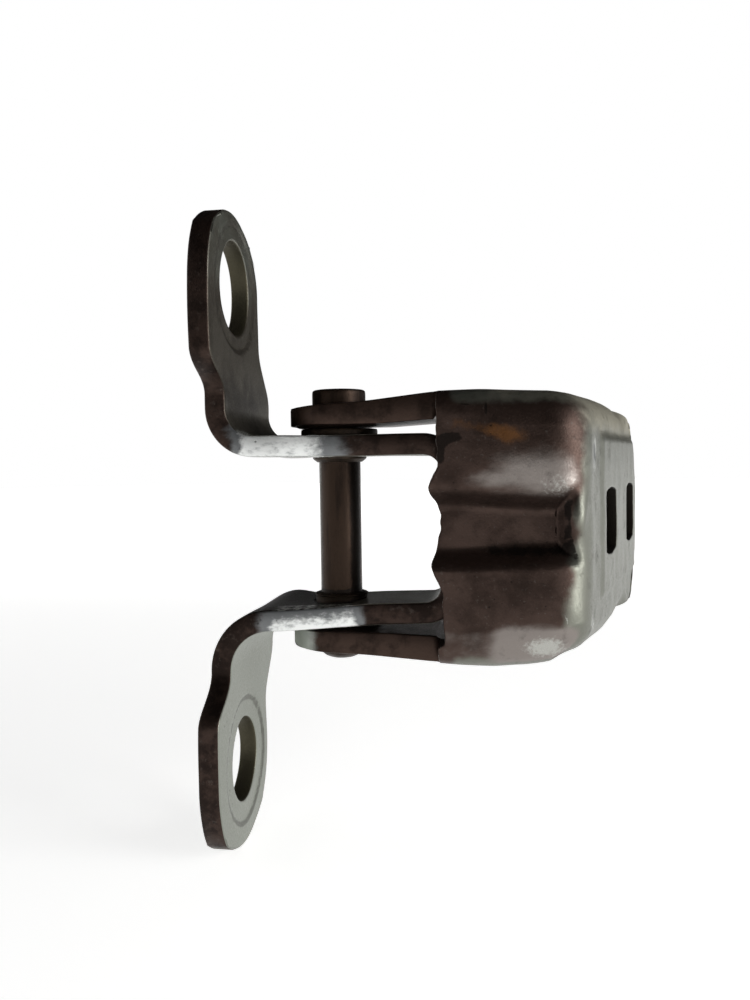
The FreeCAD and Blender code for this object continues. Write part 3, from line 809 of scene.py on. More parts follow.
        # The same strip's sheared edge: rougher, darker and browner, with bright metal where rubbed and a
        # painted highlight along the arms' front edges, and painted light on the bolt holes' walls.
        edge = WornSteel(
            "sheared_strip_steel", "#3c2f29", rough=0.45,
            layers=(
                Layer("#1f1612", size=4.0, low=0.42, high=0.62, most=0.85, rough=0.55),
                Layer("#554c46", size=1.4, low=0.58, high=0.7, most=0.5, rough=0.4),
                Layer("#4a4638", mask="bore", size=2.4, low=0.35, high=1.3, rough=0.5),
                Layer("#77797a", mask="worn_and_highlit", size=2.2, low=0.2, high=0.8, rough=0.45,
                      stretch=(0.5, 1.0, 1.0)),
                Layer("#f2f4f2", mask="worn_and_highlit", size=0.9, low=1.05, high=1.5, rough=0.5,
                      stretch=(0.5, 1.0, 1.0)),
            ), pits=0.35)
        dress(leaf, skin.make(), edge.make())

    def add(self) -> bpy.types.Object:
        """Builds and dresses the leaf, and places it on its body.

        Returns:
            The leaf.
        """
        leaf = self.build()
        self.dress(leaf)
        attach(leaf, "pillar_side")
        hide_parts(self.node)
        log.info("pillar leaf: %d faces", len(leaf.data.polygons))
        return leaf


# ---------------------------------------------------------------- door leaf

@dataclass
class DoorLeaf:
    """The leaf that bolts to the door: a deep-drawn shell with two arms.

    In plan its outside follows a bent line: the front wall, a rounded corner and the mounting wall.
    Each column of the grid stands at one place along that line. Down a column the rows go from the
    top's back rim over the top, round the crown, down the wall and back under the bottom in the
    same way. Left of the shell's sheared edge only the top and bottom go on, as the arms.
    """

    node: str = "outer_leaf"
    sheet: float = 4.1
    arm_z: float = 22.8
    eye: float = 9.2
    eye_front: float = 10.5
    arm_back: float = 9.8
    edge_x: float = 19.8
    front_y: float = -14.5
    corner: tuple[float, float] = (45.6, -14.5)
    far: tuple[float, float] = (62.0, 51.1)
    corner_round: float = 8.0
    lip_back: float = 34.0
    slot_half: float = 6.5
    bead_depth: float = 4.0
    seat_rise: float = 0.55
    # Middle and half length of each slot, along the outline.
    slots: tuple[tuple[float, float], ...] = ((50.3, 7.7), (80.4, 7.0))
    # The grid's rows in the top or bottom, in a crown and in the wall. The wall's middle band, which
    # holds the slots, lies between two of its rows.
    flat_rows: int = 26
    crown_rows: int = 9
    wall_rows: int = 72
    band: tuple[int, int] = (20, 52)
    slot_rows: tuple[int, int] = (23, 49)
    # First and last column and row of a pin hole's block of cells.
    pin_hole: tuple[int, int, int, int] = (9, 23, 9, 17)
    # Height of the top edge and depth of the bottom edge along the outline, from the sheared edge.
    top_line: tuple[tuple[float, float], ...] = (
        (0.0, 24.7), (8.0, 24.9), (17.0, 24.5), (22.0, 24.3), (27.0, 24.1), (36.0, 24.2), (50.0, 24.4),
        (60.0, 24.4), (68.0, 24.2), (75.5, 22.9), (80.5, 21.2), (83.5, 19.4), (86.0, 17.0), (88.0, 14.4),
        (90.0, 11.2), (91.2, 7.4), (91.9, 4.0))
    bottom_line: tuple[tuple[float, float], ...] = (
        (0.0, 24.2), (4.0, 24.5), (10.0, 24.9), (16.0, 24.5), (20.0, 23.8), (23.0, 22.8), (26.0, 22.4),
        (31.0, 22.4), (50.0, 23.6), (60.0, 23.5), (70.0, 22.5), (78.0, 21.2), (83.0, 20.3), (86.0, 18.8),
        (88.0, 16.9), (90.3, 12.6), (91.9, 7.5))

    def plan(self) -> BentLine:
        """The outside of the shell seen from above, from the sheared edge to the far end."""
        return BentLine(((self.edge_x, self.front_y), self.corner, self.far), (self.corner_round,))

    def columns(self, total: float) -> Array:
        """Places of the columns along the plan line, finer round the corner."""
        return np.concatenate([
            np.linspace(0, 16.5, 30, endpoint=False), np.linspace(16.5, 32, 34, endpoint=False),
            np.linspace(32, total, 100)])

    def bead(self, across: Array, up: Array) -> Array:
        """How far the front wall is pressed in, in mm, at X across and height up.

        A trough with sloping sides: the depth eases in from the mouth to the floor above and below,
        and ends by the corner in a steep wall that comes furthest forward at mid height, like a
        beak. Behind the beak a bump stands proud where the metal was gathered.

        Args:
            across: X in mm.
            up: Z in mm.

        Returns:
            The depth at each place.
        """
        run = ease((across - 20) / 20)
        mouth_top, mouth_low = mix(8.0, 7.3, run), mix(-7.2, -6.8, run)
        floor_top, floor_low = mix(3.5, 2.5, run), mix(-3.7, -2.5, run)
        side = (ease((mouth_top - up) / (mouth_top - floor_top))
                * ease((up - mouth_low) / (floor_low - mouth_low)))
        point = self.beak(up)
        fade = ease((point - across) / 1.3 + 0.5)
        bump = np.exp(-(((across - point - 1.8) / 1.3) ** 2 + ((up - 2.2) / 3.6) ** 2))
        return self.bead_depth * side * fade - 1.1 * bump

    def beak(self, up: Array) -> Array:
        """X of the trough's closed end, in mm, with height: furthest left a little above the middle."""
        return 42.7 + 0.04 * (up - 1.2) ** 2

    def lobes(self, across: Array, up: Array) -> Array:
        """Soft bulge of the front wall above and below the trough: two bell curves in height.

        Args:
            across: X in mm.
            up: Z in mm.

        Returns:
            How far the wall stands out, in mm.
        """
        rise = np.exp(-((up - 13.0) / 5.5) ** 2) + 0.8 * np.exp(-((up + 14.0) / 6.0) ** 2)
        return 0.55 * rise * ease((across - 21) / 8)

    def ragged(self, up: Array) -> Array:
        """Unevenness of the shell's sheared edge: two teeth and small waves.

        Args:
            up: Z in mm.

        Returns:
            The edge's shift in X, in mm.
        """
        teeth = ramp_through(up, [
            (-24, 1.3), (-19.8, 1.2), (-12.8, 0.9), (-10.6, 0.8), (-8.2, -0.4), (-6.5, -1.1), (-5.0, -0.8),
            (-2.0, 0.0), (0.8, 0.4), (2.2, 0.5), (4.6, -0.1), (6.2, -1.2), (7.4, -1.7), (8.6, -1.1),
            (9.6, -0.5), (10.2, -0.3), (10.6, 0.2), (12.2, 0.3), (16.0, 0.0), (24.0, 0.2)], 0.9)
        return teeth + 0.12 * ripple(up, up * 0.0, 4.0, 8)

    def build(self) -> bpy.types.Object:
        """The shell as a plate of two skins.

        Returns:
            The leaf.
        """
        line = self.plan()
        total = float(line.samples()[0][-1])
        shell = self.columns(total)
        cap = -np.cos(np.linspace(0, math.pi / 2, 16, endpoint=False)) * self.eye
        arm = np.concatenate([cap, np.linspace(0, self.edge_x, 34, endpoint=False)])
        arms = len(arm)
        lip_end = line.length_at(1, self.lip_back, 1)
        skins = [self.skin(line, arm, shell, lip_end, sunk) for sunk in (0.0, self.sheet)]
        kept = self.metal(arms, shell, lip_end)
        leaf = add_plate("door_leaf", skins[0], skins[1], kept)
        soften_edges(leaf, 0.25)
        return leaf

    def metal(self, arms: int, shell: Array, lip_end: float) -> Array:
        """Which cells are metal: not the wall's left of the sheared edge, the lips' past their end or
        the holes'.

        Args:
            arms: number of the arms' columns.
            shell: places of the shell's columns along the plan line.
            lip_end: where the top and bottom end along it.

        Returns:
            One True or False for each cell.
        """
        flat, crown, wall = self.flat_rows, self.crown_rows, self.wall_rows
        rows = 2 * (flat + crown) + wall
        kept = np.ones((arms + len(shell) - 1, rows - 1), bool)
        kept[:arms, flat:rows - 1 - flat] = False
        past = arms + nearest(shell, lip_end)
        kept[past:, :flat] = False
        kept[past:, rows - 1 - flat:] = False
        for first, last, low, high in self.blocks(arms, shell):
            kept[first:last, low:high] = False
        return kept

    def blocks(self, arms: int, shell: Array) -> list[tuple[int, int, int, int]]:
        """Blocks of cells for the two slots and the two pin holes.

        Args:
            arms: number of the arms' columns.
            shell: places of the shell's columns along the plan line.

        Returns:
            First and last column, and first and last row, of each block.
        """
        start = self.flat_rows + self.crown_rows
        slots = [(arms + nearest(shell, at - half), arms + nearest(shell, at + half),
                  start + self.slot_rows[0], start + self.slot_rows[1]) for at, half in self.slots]
        hole = self.pin_hole
        rows = 2 * start + self.wall_rows
        return [*slots, hole, (hole[0], hole[1], rows - 1 - hole[3], rows - 1 - hole[2])]

    def skin(self, line: BentLine, arm: Array, shell: Array, lip_end: float, sunk: float) -> Array:
        """One skin of the shell.

        The crown is an arc of a radius and a turn: at each angle it lies radius (1 - cos(angle))
        inside the outline and radius (sin(turn) - sin(angle)) below the top edge. The flat runs
        straight from the arc's end to the back rim. The wall lies on the outline, pressed in by the
        bead and out by the lobes and by the seat round the slots.

        Args:
            line: the plan line.
            arm: X of the arm's columns.
            shell: place along the plan line of the shell's columns.
            lip_end: place where the top and bottom run out.
            sunk: how far the skin lies inside the outside, in mm.

        Returns:
            (columns, rows, 3) points in mm.
        """
        flat, crown, wall = self.flat_rows, self.crown_rows, self.wall_rows
        place, way = line.read(shell)
        outward = np.stack([way[:, 1], -way[:, 0]], axis=-1)
        top = ramp_through(shell, self.top_line, 3.0)
        low = ramp_through(shell, self.bottom_line, 3.0)
        # How far the edge turns over: a quarter turn, fading out where the lips end.
        turn = math.pi / 2 * (1 - ease((shell - lip_end + 4.0) / 13.0))
        round_outside = mix(4.0, 6.0, ease((shell - 2.0) / 12.0))
        radius = np.maximum(round_outside - sunk, 0.3)
        halves = []
        for height, sense in ((top, 1.0), (low, -1.0)):
            # Crown: from the wall's straight part, round an arc of this radius and turn.
            share = np.linspace(1, 0, crown + 1)[:, None]
            angle = turn * share
            inward = sunk + radius * (1 - np.cos(angle))
            rise = height - sunk * np.sin(turn) - radius * (np.sin(turn) - np.sin(angle))
            arc = np.stack([place[:, 0] - outward[:, 0] * inward,
                            place[:, 1] - outward[:, 1] * inward, sense * rise], axis=-1)
            # Flat: from the back rim to the crown's start.
            reach = np.clip(shell / lip_end, 0, 1)[None, :, None] ** 0.9
            rim_start = np.array([self.edge_x, self.arm_back])
            end_place, end_way = line.read(np.array([lip_end]))
            rim_end = end_place[0] - np.array([end_way[0, 1], -end_way[0, 0]]) * 8.0
            rim = mix(rim_start, rim_end, reach)
            step = np.linspace(0, 1, flat, endpoint=False)[:, None, None]
            floor = mix(rim, arc[0, :, :2][None], step)
            rim_height = mix(self.arm_z + 1.6, height, 0.75)
            lift = mix(rim_height, height, step[..., 0]) - sunk * np.sin(turn)
            plate = np.concatenate([floor, (sense * lift)[..., None]], axis=-1)
            halves.append(np.concatenate([plate, arc[:-1]]))
        # Wall: straight down between the two crowns, with evenly spaced rows at the slots' height.
        straight_top = top - (sunk + radius) * np.sin(turn)
        straight_low = (sunk + radius) * np.sin(turn) - low
        band_top, band_low = np.minimum(8.0, 0.8 * straight_top), np.maximum(-8.0, 0.8 * straight_low)
        drop = np.arange(wall)[:, None]
        first, last = self.band
        upper = mix(straight_top, band_top, drop / first)
        middle = mix(band_top, band_low, (drop - first) / (last - first))
        lower = mix(band_low, straight_low, (drop - last) / (wall - 1 - last))
        up = np.where(drop < first, upper, np.where(drop < last, middle, lower))
        along = np.repeat(shell[None], wall, axis=0)
        up, along = up.T.copy(), along.T.copy()
        arms = len(arm)
        for block, (at, half) in zip(self.blocks(arms, shell)[:2], self.slots):
            local = (block[0] - arms, block[1] - arms, block[2] - flat - crown, block[3] - flat - crown)
            along, up = pierce(along, up, local, (at, 0.0), (half, self.slot_half), 0.42, 1.35)
        wall_place, wall_way = line.read(along)
        wall_out = np.stack([wall_way[..., 1], -wall_way[..., 0]], axis=-1)
        facing = ease((-wall_out[..., 1] - 0.2) / 0.75)
        x = wall_place[..., 0]
        press = (self.bead(x, up) - self.lobes(x, up)) * facing
        seat = (self.seat_rise * ease((17.4 - up) / 1.8) * ease((up + 14.8) / 2.0)
                * ease((along - 38.2) / 2.6))
        dent = 0.08 * ripple(along, up, 18.0, 11) + 0.012 * ripple(along, up, 6.0, 12)
        inward = sunk + press - seat + dent
        face = wall_place - wall_out * inward[..., None]
        shift = self.ragged(up) * (1 - ease(along / 7.0))
        walls = np.stack([face[..., 0] + shift, face[..., 1], up], axis=-1).transpose(1, 0, 2)
        skin = np.concatenate([halves[0], walls, halves[1][::-1]]).transpose(1, 0, 2)
        return np.concatenate([self.arm_grid(arm, skin.shape[1], sunk), skin])

    def arm_grid(self, arm: Array, rows: int, sunk: float) -> Array:
        """The arms' part of a skin.

        Lines of equal X from the back edge to the front one; left of the pin they are carried to a
        half disc by x = a sqrt(1 - b^2 / 2), y = b sqrt(1 - a^2 / 2).

        Args:
            arm: X of the arm's columns.
            rows: number of the whole grid's rows.
            sunk: how far the skin lies inside the outside, in mm.

        Returns:
            (columns, rows, 3) points in mm, with zeros where there is no arm.
        """
        flat = self.flat_rows
        grid = np.zeros((len(arm), rows, 3))
        share = np.linspace(1, -1, flat + 1)[None]
        x = np.repeat(arm[:, None], flat + 1, axis=1)
        b = np.repeat(share, len(arm), axis=0)
        a = np.clip(-x / self.eye, 0, 1)
        middle, half = (self.arm_back - self.eye_front) / 2, (self.arm_back + self.eye_front) / 2
        depth = middle + half * b * np.sqrt(1 - a * a / 2)
        x = np.where(a > 0, -self.eye * a * np.sqrt(1 - b * b / 2), x)
        x, depth = pierce(x, depth, self.pin_hole, (0.0, 0.0), (4.0, 4.0), 1.0, 1.5)
        # The arms rise towards the shell, less inside than outside. Only the outside droops at the
        # eye: the inside is flat over the bush's collar and eased back round it, so that it stays
        # clear of the pillar leaf's arm, which sags there.
        flare = ramp_through(x, [(-10.0, -0.3), (-3.0, 0.0), (6.0, 0.2), (19.8, 1.0)], 5.0)
        if sunk > 0:
            flare = np.maximum(flare, 0.4 * ease((np.hypot(x, depth) - 7.4) / 1.4))
        follow = 1 - 0.45 * sunk / self.sheet
        for sense, rise, at in ((1.0, 1.9, slice(0, flat + 1)),
                                (-1.0, 1.4, slice(rows - flat - 1, rows))):
            height = sense * (self.arm_z + rise * flare * follow - sunk)
            part = np.stack([x, depth, height], axis=-1)
            grid[:, at] = part if sense > 0 else part[:, ::-1]
        return grid

    def dress(self, leaf: bpy.types.Object) -> None:
        """Paints the film's colours, with painted light, highlights and shade, over the shell and gives the
        finish.

        Args:
            leaf: the leaf.
        """

        def pale(p: Array) -> Array:
            """Painted light: paler on the mounting wall, the crowns and the lower eye.

            Args:
                p: (n, 3) points in mm.

            Returns:
                The mask at each point.
            """
            x, _, z = p.T
            wall = ease((x - 40.0 - 0.12 * z - 0.6 * ripple(z, x, 13.0, 31)) / 8.0)
            crown = 0.8 * ease((np.abs(z) - 20.0) / 4.5) * ease((x - 20) / 4.0)
            eye = 1.2 * ease((-1.0 - x) / 6.0) * (z < 0)
            return np.maximum.reduce([wall, crown, eye])

        def painted_sheen(p: Array) -> Array:
            """Painted highlight: the front wall over and under the trough.

            Args:
                p: (n, 3) points in mm.

            Returns:
                The mask at each point.
            """
            x, y, z = p.T
            lip = 0.8 * np.exp(-((z - 9.0) / 2.2) ** 2) * ease((x - 19) / 14)
            low = 0.75 * ease((-z - 14.5) / 4.0) * ease((x - 27.0) / 6.0) + 0.35 * ease((-z - 16.5) / 2.0)
            return (np.maximum(0.85 * spot(p, (37, -14, 10), (9, 8, 4.5)), np.maximum(lip, low))
                    * ease((-11.0 - y) / 2.0) * ease((47.0 - x) / 5.0) * ease((x - 19.5) / 1.5))

        def dust_and_light(p: Array) -> Array:
            """Painted light with a dusty tint: the upper right corner, and the upper crown.

            Args:
                p: (n, 3) points in mm.

            Returns:
                The mask at each point.
            """
            x, _, z = p.T
            corner = 0.9 * ease((x - 41) / 8) * ease((z - 13.0) / 8.0)
            return corner + 0.55 * ease((x - 22) / 10) * ease((z - 20.5) / 3.0)

        def rust(p: Array) -> Array:
            """Rust: a sloping streak under the upper crown and a spot at its right end.

            Args:
                p: (n, 3) points in mm.

            Returns:
                The mask at each point.
            """
            x, y, z = p.T
            streak = (np.exp(-((z - 19.3 + 0.2 * (x - 20)) / 2.2) ** 2) * ease((x - 19) / 5)
                      * ease((38 - x) / 7))
            return (0.45 * streak + 0.35 * spot(p, (34, -15, 16.6), (4.0, 8, 2.2))) * (y < -10)

        def dark(p: Array) -> Array:
            """Grime in the gash by the upper arm and the cracks above, and painted shade in the trough's
            floor and on its end wall.

            Args:
                p: (n, 3) points in mm.

            Returns:
                The mask at each point.
            """
            x, y, z = p.T
            front = ease((-5.0 - y) / 1.0)
            gash = spot(p, (22.5, -15, 16.2), (2.4, 8, 1.2)) + spot(p, (20.5, -15, 13.5), (1.2, 8, 2.8))
            trough = 0.7 * np.exp(-((z + 3.9) / 1.5) ** 2) * ease((x - 24) / 6) * ease((44 - x) / 2)
            end = (np.exp(-((x - self.beak(z) + 0.4) / 0.8) ** 2) * ease((7.0 - z) / 3)
                   * ease((z + 7.0) / 3))
            upright = 0.8 * spot(p, (28.5, -14, 21.0), (0.5, 6, 2.0))
            level = 0.7 * spot(p, (25.0, -14, 22.0), (2.8, 6, 0.5))
            return gash + (trough + end) * front + upright + level

        def scuff(p: Array) -> Array:
            """Scuffs: long ones down the corner, a dent under the trough and the sheared edge.

            Args:
                p: (n, 3) points in mm.

            Returns:
                The mask at each point.
            """
            x, y, z = p.T
            bend = np.exp(-((x - 47.3 - 0.02 * z) / 1.1) ** 2) * (y < -2)
            long_marks = bend * (0.9 * spot(p[:, 2:], (13,), (7,)) + 0.8 * spot(p[:, 2:], (-17,), (5,)))
            dent = 0.7 * spot(p, (42.0, -14, -15.5), (1.6, 8, 3.0))
            sheared = 0.5 * ease((22.0 - x) / 1.5) * ease((x - 17) / 1.0) * ease((-11.5 - y) / 1.0)
            return long_marks + dent + sheared

        def worn_and_highlit(p: Array) -> Array:
            """Rubbed bright and a painted highlight: the bulge over the trough's end and the lower crown.

            Args:
                p: (n, 3) points in mm.

            Returns:
                The mask at each point.
            """
            over = 0.5 * spot(p, (40.5, -14, 7.8), (6.5, 8, 4.2))
            return over + 0.75 * spot(p, (38.5, -14, -20.5), (5.5, 8, 2.8))

        def slot_wall_shade(p: Array) -> Array:
            """Painted shade on the slots' walls.

            Args:
                p: (n, 3) points in mm.

            Returns:
                The mask at each point.
            """
            _, y, z = p.T
            return 1.2 * (y > 0) * (np.abs(z) < self.slot_half + 0.6) * (y < 48)

        for mask in (pale, painted_sheen, dust_and_light, rust, dark, scuff, worn_and_highlit, slot_wall_shade):
            paint(leaf, mask.__name__, mask)
        # Drawing steel, pressed deep and then phosphated: a brown-black film with rust, grime and scuffs.
        # Painted light makes it paler and even on the mounting wall and paler on the crowns and the upper
        # right corner, painted highlights brighten the front wall round the trough, and painted shade
        # darkens the trough's floor and end.
        skin = WornSteel(
            "phosphated_drawn_steel", "#463832", rough=0.42,
            layers=(
                Layer("#2c211c", size=8.0, low=0.45, high=0.66, most=0.7, rough=0.5),
                Layer("#6f7067", mask="pale", size=5.0, low=0.4, high=1.05, rough=0.4),
                Layer("#847d78", mask="painted_sheen", size=3.0, low=0.35, high=1.35, rough=0.36,
                      stretch=(0.6, 1.0, 1.0)),
                Layer("#a39f90", mask="dust_and_light", size=2.5, low=0.3, high=1.5, rough=0.55),
                Layer("#93908a", size=0.7, low=0.58, high=0.76, most=0.16, rough=0.35),
                Layer("#1f1813", size=3.6, low=0.54, high=0.72, most=0.35, rough=0.55),
                Layer("#7d5228", mask="rust", size=2.2, low=0.5, high=1.15, most=0.6, rough=0.7),
                Layer("#15100d", mask="dark", size=1.8, low=0.75, high=1.1, most=0.85, rough=0.6),
                Layer("#b9bab4", mask="worn_and_highlit", size=0.6, low=0.65, high=1.1, most=0.75, rough=0.3),
                Layer("#d0d1cc", mask="scuff", size=0.7, low=1.15, high=1.3, most=0.6, rough=0.3,
                      stretch=(1.0, 1.0, 0.35)),
                Layer("#24282c", mask="scuff", size=1.1, low=1.22, high=1.42, most=0.75, rough=0.5,
                      stretch=(1.2, 1.2, 0.4)),
            ), pits=0.38)
        # The same sheet's sheared edge: dark brown, with painted light that makes it pale round the mounting
        # wall, painted shade on the slots' walls, and bright scuffs.
        edge = WornSteel(
            "sheared_drawn_steel", "#41332c", rough=0.45,
            layers=(
                Layer("#241a15", size=5.0, low=0.45, high=0.65, most=0.8, rough=0.5),
                Layer("#c4c9c3", mask="pale", size=2.5, low=0.3, high=1.6, rough=0.5),
                Layer("#1b1712", mask="slot_wall_shade", size=4.0, low=0.3, high=0.9, rough=0.6),
                Layer("#b5b5b0", mask="scuff", size=0.8, low=0.75, high=0.95, most=0.7, rough=0.3),
            ), pits=0.3)
        dress(leaf, skin.make(), edge.make())

    def add(self) -> bpy.types.Object:
        """Builds and dresses the leaf, and places it on its body.

        Returns:
            The leaf.
        """
        leaf = self.build()
        self.dress(leaf)
        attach(leaf, "door_side")
        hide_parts(self.node)
        log.info("door leaf: %d faces", len(leaf.data.polygons))
        return leaf


# ---------------------------------------------------------------- pin and bushes

@dataclass
class Spindle:
    """The pin, turned with a head and riveted over at its lower end, and its two bushes."""

    shank: float = 4.0
    head: float = 5.15
    peen: float = 4.85
    bore: float = 4.05
    sleeve: float = 4.98
    collar: float = 7.4
    lip: float = 5.2
    # How far each bush's lip is rolled over: fully above, flatter below.
    upper_roll: float = 1.0
    lower_roll: float = 0.45
    lip_height: float = 13.3

    def pin(self) -> bpy.types.Object:
        """The pin: a profile from the riveted dome's pole to the head's, with an uneven dome rim.

        Returns:
            The pin.
        """
        shank, head, peen = self.shank, self.head, self.peen
        dome = [(0, -25.8), (1.6, -25.75), (3.0, -25.4), (4.1, -24.7), (peen - 0.15, -23.8),
                (peen - 0.05, -23.0), (peen, -22.78), (shank + 0.05, -22.75)]
        straight = [(shank, z) for z in (-22.5, -21.0, -13, -12.0, -6, 0, 6, 12, 21.0, 22.6)]
        top = [(shank + 0.1, 22.85), (head - 0.25, 22.85), (head - 0.05, 22.95), (head, 23.2),
               (head, 24.5), (head, 25.6), (head - 0.15, 25.95), (head - 0.55, 26.1), (3.0, 26.1),
               (1.4, 26.05), (0.8, 25.85), (0, 25.8)]

        def wobble(turn: Array, height: Array) -> Array:
            """Waves round the dome's rim, three and seven to a turn.

            Args:
                turn: angles round the axis.
                height: Z in mm.

            Returns:
                What is added to the radius, in mm.
            """
            riveted = ease((-23.0 - height) / 0.6) * ease((height + 26.0) / 1.2)
            return 0.12 * riveted * np.sin(3 * turn + 0.6) + 0.07 * riveted * np.sin(7 * turn)

        return add_turned("pin", dome + straight + top, False, 96, wobble)

    def bush(self, name: str, end: End) -> bpy.types.Object:
        """A flanged bush: collar outside the pillar leaf's arm, sleeve through it and a rolled lip.

        Args:
            name: the piece's name.
            end: the arm it sits in.

        Returns:
            The bush, a closed loop turned round the pin's axis.
        """
        roll = self.upper_roll if end is End.UPPER else self.lower_roll
        bore, sleeve, collar, lip, inside = self.bore, self.sleeve, self.collar, self.lip, self.lip_height
        loop = [(bore, inside - 1.05 * roll), (bore, 15.0), (bore, 18.55), (bore + 0.2, 18.6),
                (collar - 0.3, 18.6), (collar, 18.4), (collar, 17.4), (collar - 0.2, 17.22),
                (sleeve + 0.12, 17.22), (sleeve, 17.0), (sleeve, 15.0), (sleeve, inside + 0.1),
                (lip, inside - 0.03), (lip, inside - 0.4 * roll), (4.6, inside - 0.85 * roll),
                (4.3, inside - 1.08 * roll)]
        return add_turned(name, [(r, end.value * z) for r, z in loop], True)

    def dress(self, pin: bpy.types.Object, bushes: list[bpy.types.Object]) -> None:
        """Gives the pin its painted highlight and shade, and the bushes their dull bronze.

        Args:
            pin: the pin.
            bushes: both bushes.
        """

        def streak(p: Array) -> Array:
            """Painted highlight: a bright streak down the shank's flange side.

            Args:
                p: (n, 3) points in mm.

            Returns:
                The mask at each point.
            """
            turn = np.arctan2(p[:, 1], p[:, 0])
            return 0.55 * np.exp(-((np.abs(turn) - 2.75) / 0.35) ** 2) * (np.abs(p[:, 2]) < 20)

        def shade(p: Array) -> Array:
            """Painted shade: down the shank's shell side, and by the bushes' lips.

            Args:
                p: (n, 3) points in mm.

            Returns:
                The mask at each point.
            """
            turn = np.arctan2(p[:, 1], p[:, 0])
            side = 0.8 * np.exp(-((turn + 0.55) / 0.4) ** 2)
            return (side + 0.7 * ease((np.abs(p[:, 2]) - 11.6) / 0.8)) * (np.abs(p[:, 2]) < 20)

        for mask in (streak, shade):
            paint(pin, mask.__name__, mask)
        # Drawn bar, oiled: dark brown, with fine streaks along its length, a painted highlight down the
        # flange side and painted shade on the shell side and by the bushes.
        steel = WornSteel(
            "oiled_drawn_steel", "#35281f", rough=0.4, metallic=0.8,
            layers=(
                Layer("#221812", size=2.5, low=0.45, high=0.62, most=0.8, rough=0.45,
                      stretch=(1, 1, 0.12)),
                Layer("#5b5c57", mask="streak", size=2.0, low=0.5, high=0.9, rough=0.38,
                      stretch=(1, 1, 0.15)),
                Layer("#1c1714", mask="shade", size=1.6, low=0.5, high=0.9, most=0.85, rough=0.5),
            ), pits=0.2)
        dress(pin, steel.make())
        # Sintered bronze, soaked in oil: dull and nearly as dark as the pin, a little warmer.
        bronze = WornSteel(
            "sintered_bronze", "#3c3229", rough=0.5, metallic=0.8,
            layers=(Layer("#2b2420", size=1.8, low=0.48, high=0.62, most=0.8, rough=0.6),))
        made = bronze.make()
        for bush in bushes:
            dress(bush, made)

    def add(self) -> None:
        """Builds, dresses and places the pin and the bushes."""
        pin = self.pin()
        upper = self.bush("upper_bush_ring", End.UPPER)
        lower = self.bush("lower_bush_ring", End.LOWER)
        self.dress(pin, [upper, lower])
        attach(pin, "door_side")
        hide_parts("hinge_pin")
        for bush, node in ((upper, "upper_bush"), (lower, "lower_bush")):
            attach(bush, "pillar_side")
            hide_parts(node)
        log.info("pin and bushes: %d faces", len(pin.data.polygons) + 2 * len(upper.data.polygons))


# ---------------------------------------------------------------- studio

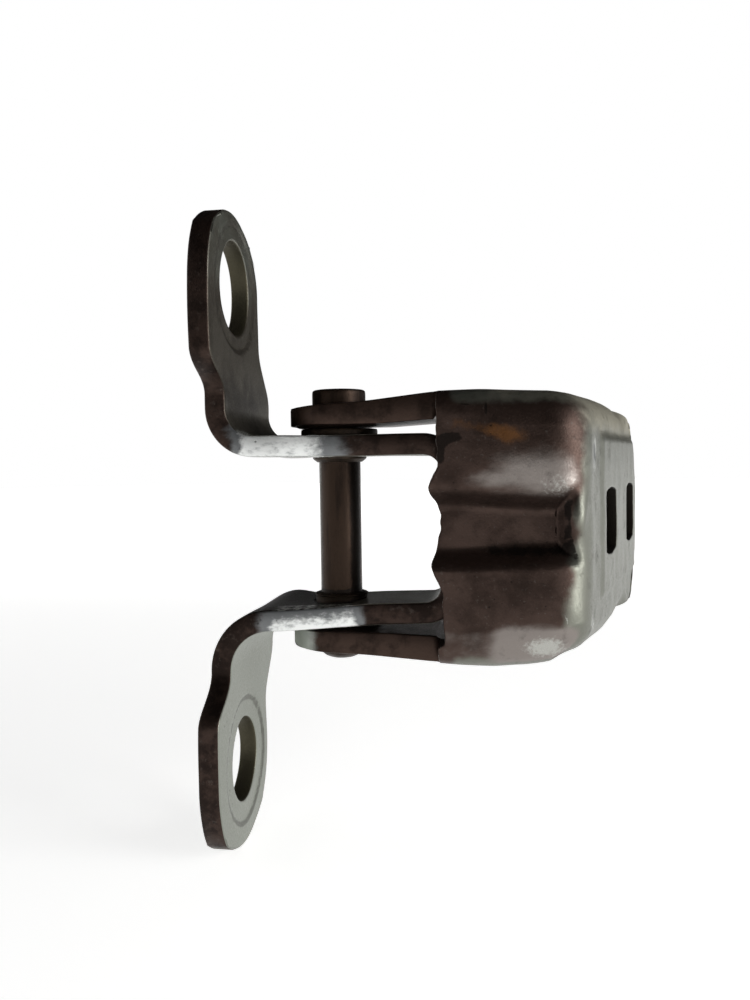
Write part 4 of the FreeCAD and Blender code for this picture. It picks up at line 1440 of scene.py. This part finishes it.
@dataclass
class Studio:
    """Pale floor, soft light and the camera."""

    eye: tuple[float, float, float] = (32.23, -168.0, 12.2)
    yaw: float = 8.61
    pitch: float = 2.49
    roll: float = 0.83
    lens: float = 31.67

    def camera(self) -> None:
        """Camera from its place and its three angles: yaw from +Y towards -X, pitch down, and roll."""
        yaw, pitch, roll = (math.radians(v) for v in (self.yaw, self.pitch, self.roll))
        forward = Vector((-math.sin(yaw) * math.cos(pitch), math.cos(yaw) * math.cos(pitch),
                          -math.sin(pitch)))
        level = Vector((math.cos(yaw), math.sin(yaw), 0))
        below = forward.cross(level)
        right = math.cos(roll) * level + math.sin(roll) * below
        down = -math.sin(roll) * level + math.cos(roll) * below
        data = bpy.data.cameras.new("camera")
        data.lens = self.lens
        data.sensor_width = 36.0
        data.clip_start = 0.01
        camera = bpy.data.objects.new("camera", data)
        bpy.context.scene.collection.objects.link(camera)
        turn = Matrix((right, -down, -forward)).transposed().to_4x4()
        camera.matrix_world = Matrix.Translation(Vector(self.eye) * MM) @ turn
        bpy.context.scene.camera = camera

    def floor(self) -> None:
        """Round pale floor, 3 m in radius, just under the hinge."""
        low = CAD_BOX[0].z / MM - 0.05
        turn = np.linspace(0, math.tau, 64, endpoint=False)
        ring = np.stack([3000 * np.cos(turn), 3000 * np.sin(turn), np.full(64, low)], axis=-1)
        mesh = bpy.data.meshes.new("floor")
        mesh.from_pydata((ring * MM).tolist(), [], [list(range(64))])
        floor = bpy.data.objects.new("floor", mesh)
        bpy.context.scene.collection.objects.link(floor)
        paper = bpy.data.materials.new("white_paper")
        paper.use_nodes = True
        shader = paper.node_tree.nodes["Principled BSDF"]
        shader.inputs["Base Color"].default_value = linear("#f4f4f2")
        shader.inputs["Roughness"].default_value = 0.9
        shader.inputs["Emission Color"].default_value = linear("#ffffff")
        shader.inputs["Emission Strength"].default_value = 0.75
        dress(floor, paper)

    def card(self, name: str, centre: Sequence[float], across: Sequence[float], up: Sequence[float]) -> None:
        """Dark card that shades the metal, out of the camera's sight.

        Args:
            name: the card's name.
            centre: its middle, in mm.
            across: from its middle to its side.
            up: from its middle to its top.
        """
        middle, side, rise = (np.array(v, float) for v in (centre, across, up))
        corners = np.stack([middle - side - rise, middle + side - rise, middle + side + rise,
                            middle - side + rise])
        mesh = bpy.data.meshes.new(name)
        mesh.from_pydata((corners * MM).tolist(), [], [[0, 1, 2, 3]])
        card = bpy.data.objects.new(name, mesh)
        bpy.context.scene.collection.objects.link(card)
        felt = bpy.data.materials.new("black_felt")
        felt.use_nodes = True
        shader = felt.node_tree.nodes["Principled BSDF"]
        shader.inputs["Base Color"].default_value = linear("#1c1a19")
        shader.inputs["Roughness"].default_value = 1.0
        dress(card, felt)
        card.visible_camera = False

    def lamp(self, name: str, place: Sequence[float], aim: Sequence[float], size: float,
             power: float) -> None:
        """Square soft box.

        Args:
            name: the lamp's name.
            place: its middle, in mm.
            aim: the point it faces, in mm.
            size: its side, in mm.
            power: in watts.
        """
        data = bpy.data.lights.new(name, "AREA")
        data.shape = "SQUARE"
        data.size = size * MM
        data.energy = power
        lamp = bpy.data.objects.new(name, data)
        bpy.context.scene.collection.objects.link(lamp)
        way = (Vector(aim) - Vector(place)) * MM
        turn = way.to_track_quat("-Z", "Y").to_matrix().to_4x4()
        lamp.matrix_world = Matrix.Translation(Vector(place) * MM) @ turn

    def sky(self) -> None:
        """Even pale surround: bright at eye level and darker overhead."""
        world = bpy.data.worlds.new("surround")
        bpy.context.scene.world = world
        world.use_nodes = True
        tree = world.node_tree
        tree.nodes.clear()
        way = add_node(tree, "TexCoord").outputs["Generated"]
        height = add_node(tree, "SeparateXYZ", Vector=way).outputs["Z"]
        shade = add_node(tree, "MapRange", {"interpolation_type": "SMOOTHSTEP"}, Value=height,
                         From_Min=0.45, From_Max=0.8, To_Min=1.0, To_Max=0.4)
        glow = add_node(tree, "Background", Color=linear("#ffffff"), Strength=shade.outputs[0])
        add_node(tree, "OutputWorld", Surface=glow.outputs[0])

    def add(self) -> None:
        """Sets up floor, light and camera."""
        self.floor()
        self.sky()
        self.card("front_card", (0, -420, 330), (700, 0, 0), (0, 0, 330))
        self.card("top_card", (0, 0, 420), (600, 0, 0), (0, 420, 0))
        self.card("back_card", (0, 420, 240), (700, 0, 0), (0, 0, 205))
        self.lamp("side_light", (420, -160, 60), (10, 0, 0), 260, 1.2)
        self.camera()
        bpy.context.scene.view_settings.view_transform = "Standard"
        log.info("studio ready")


def main() -> None:
    """Builds the hinge and its studio."""
    logging.basicConfig(level=logging.INFO, format="%(message)s")
    PillarLeaf().add()
    DoorLeaf().add()
    Spindle().add()
    Studio().add()


if __name__ == "__main__":
    main()
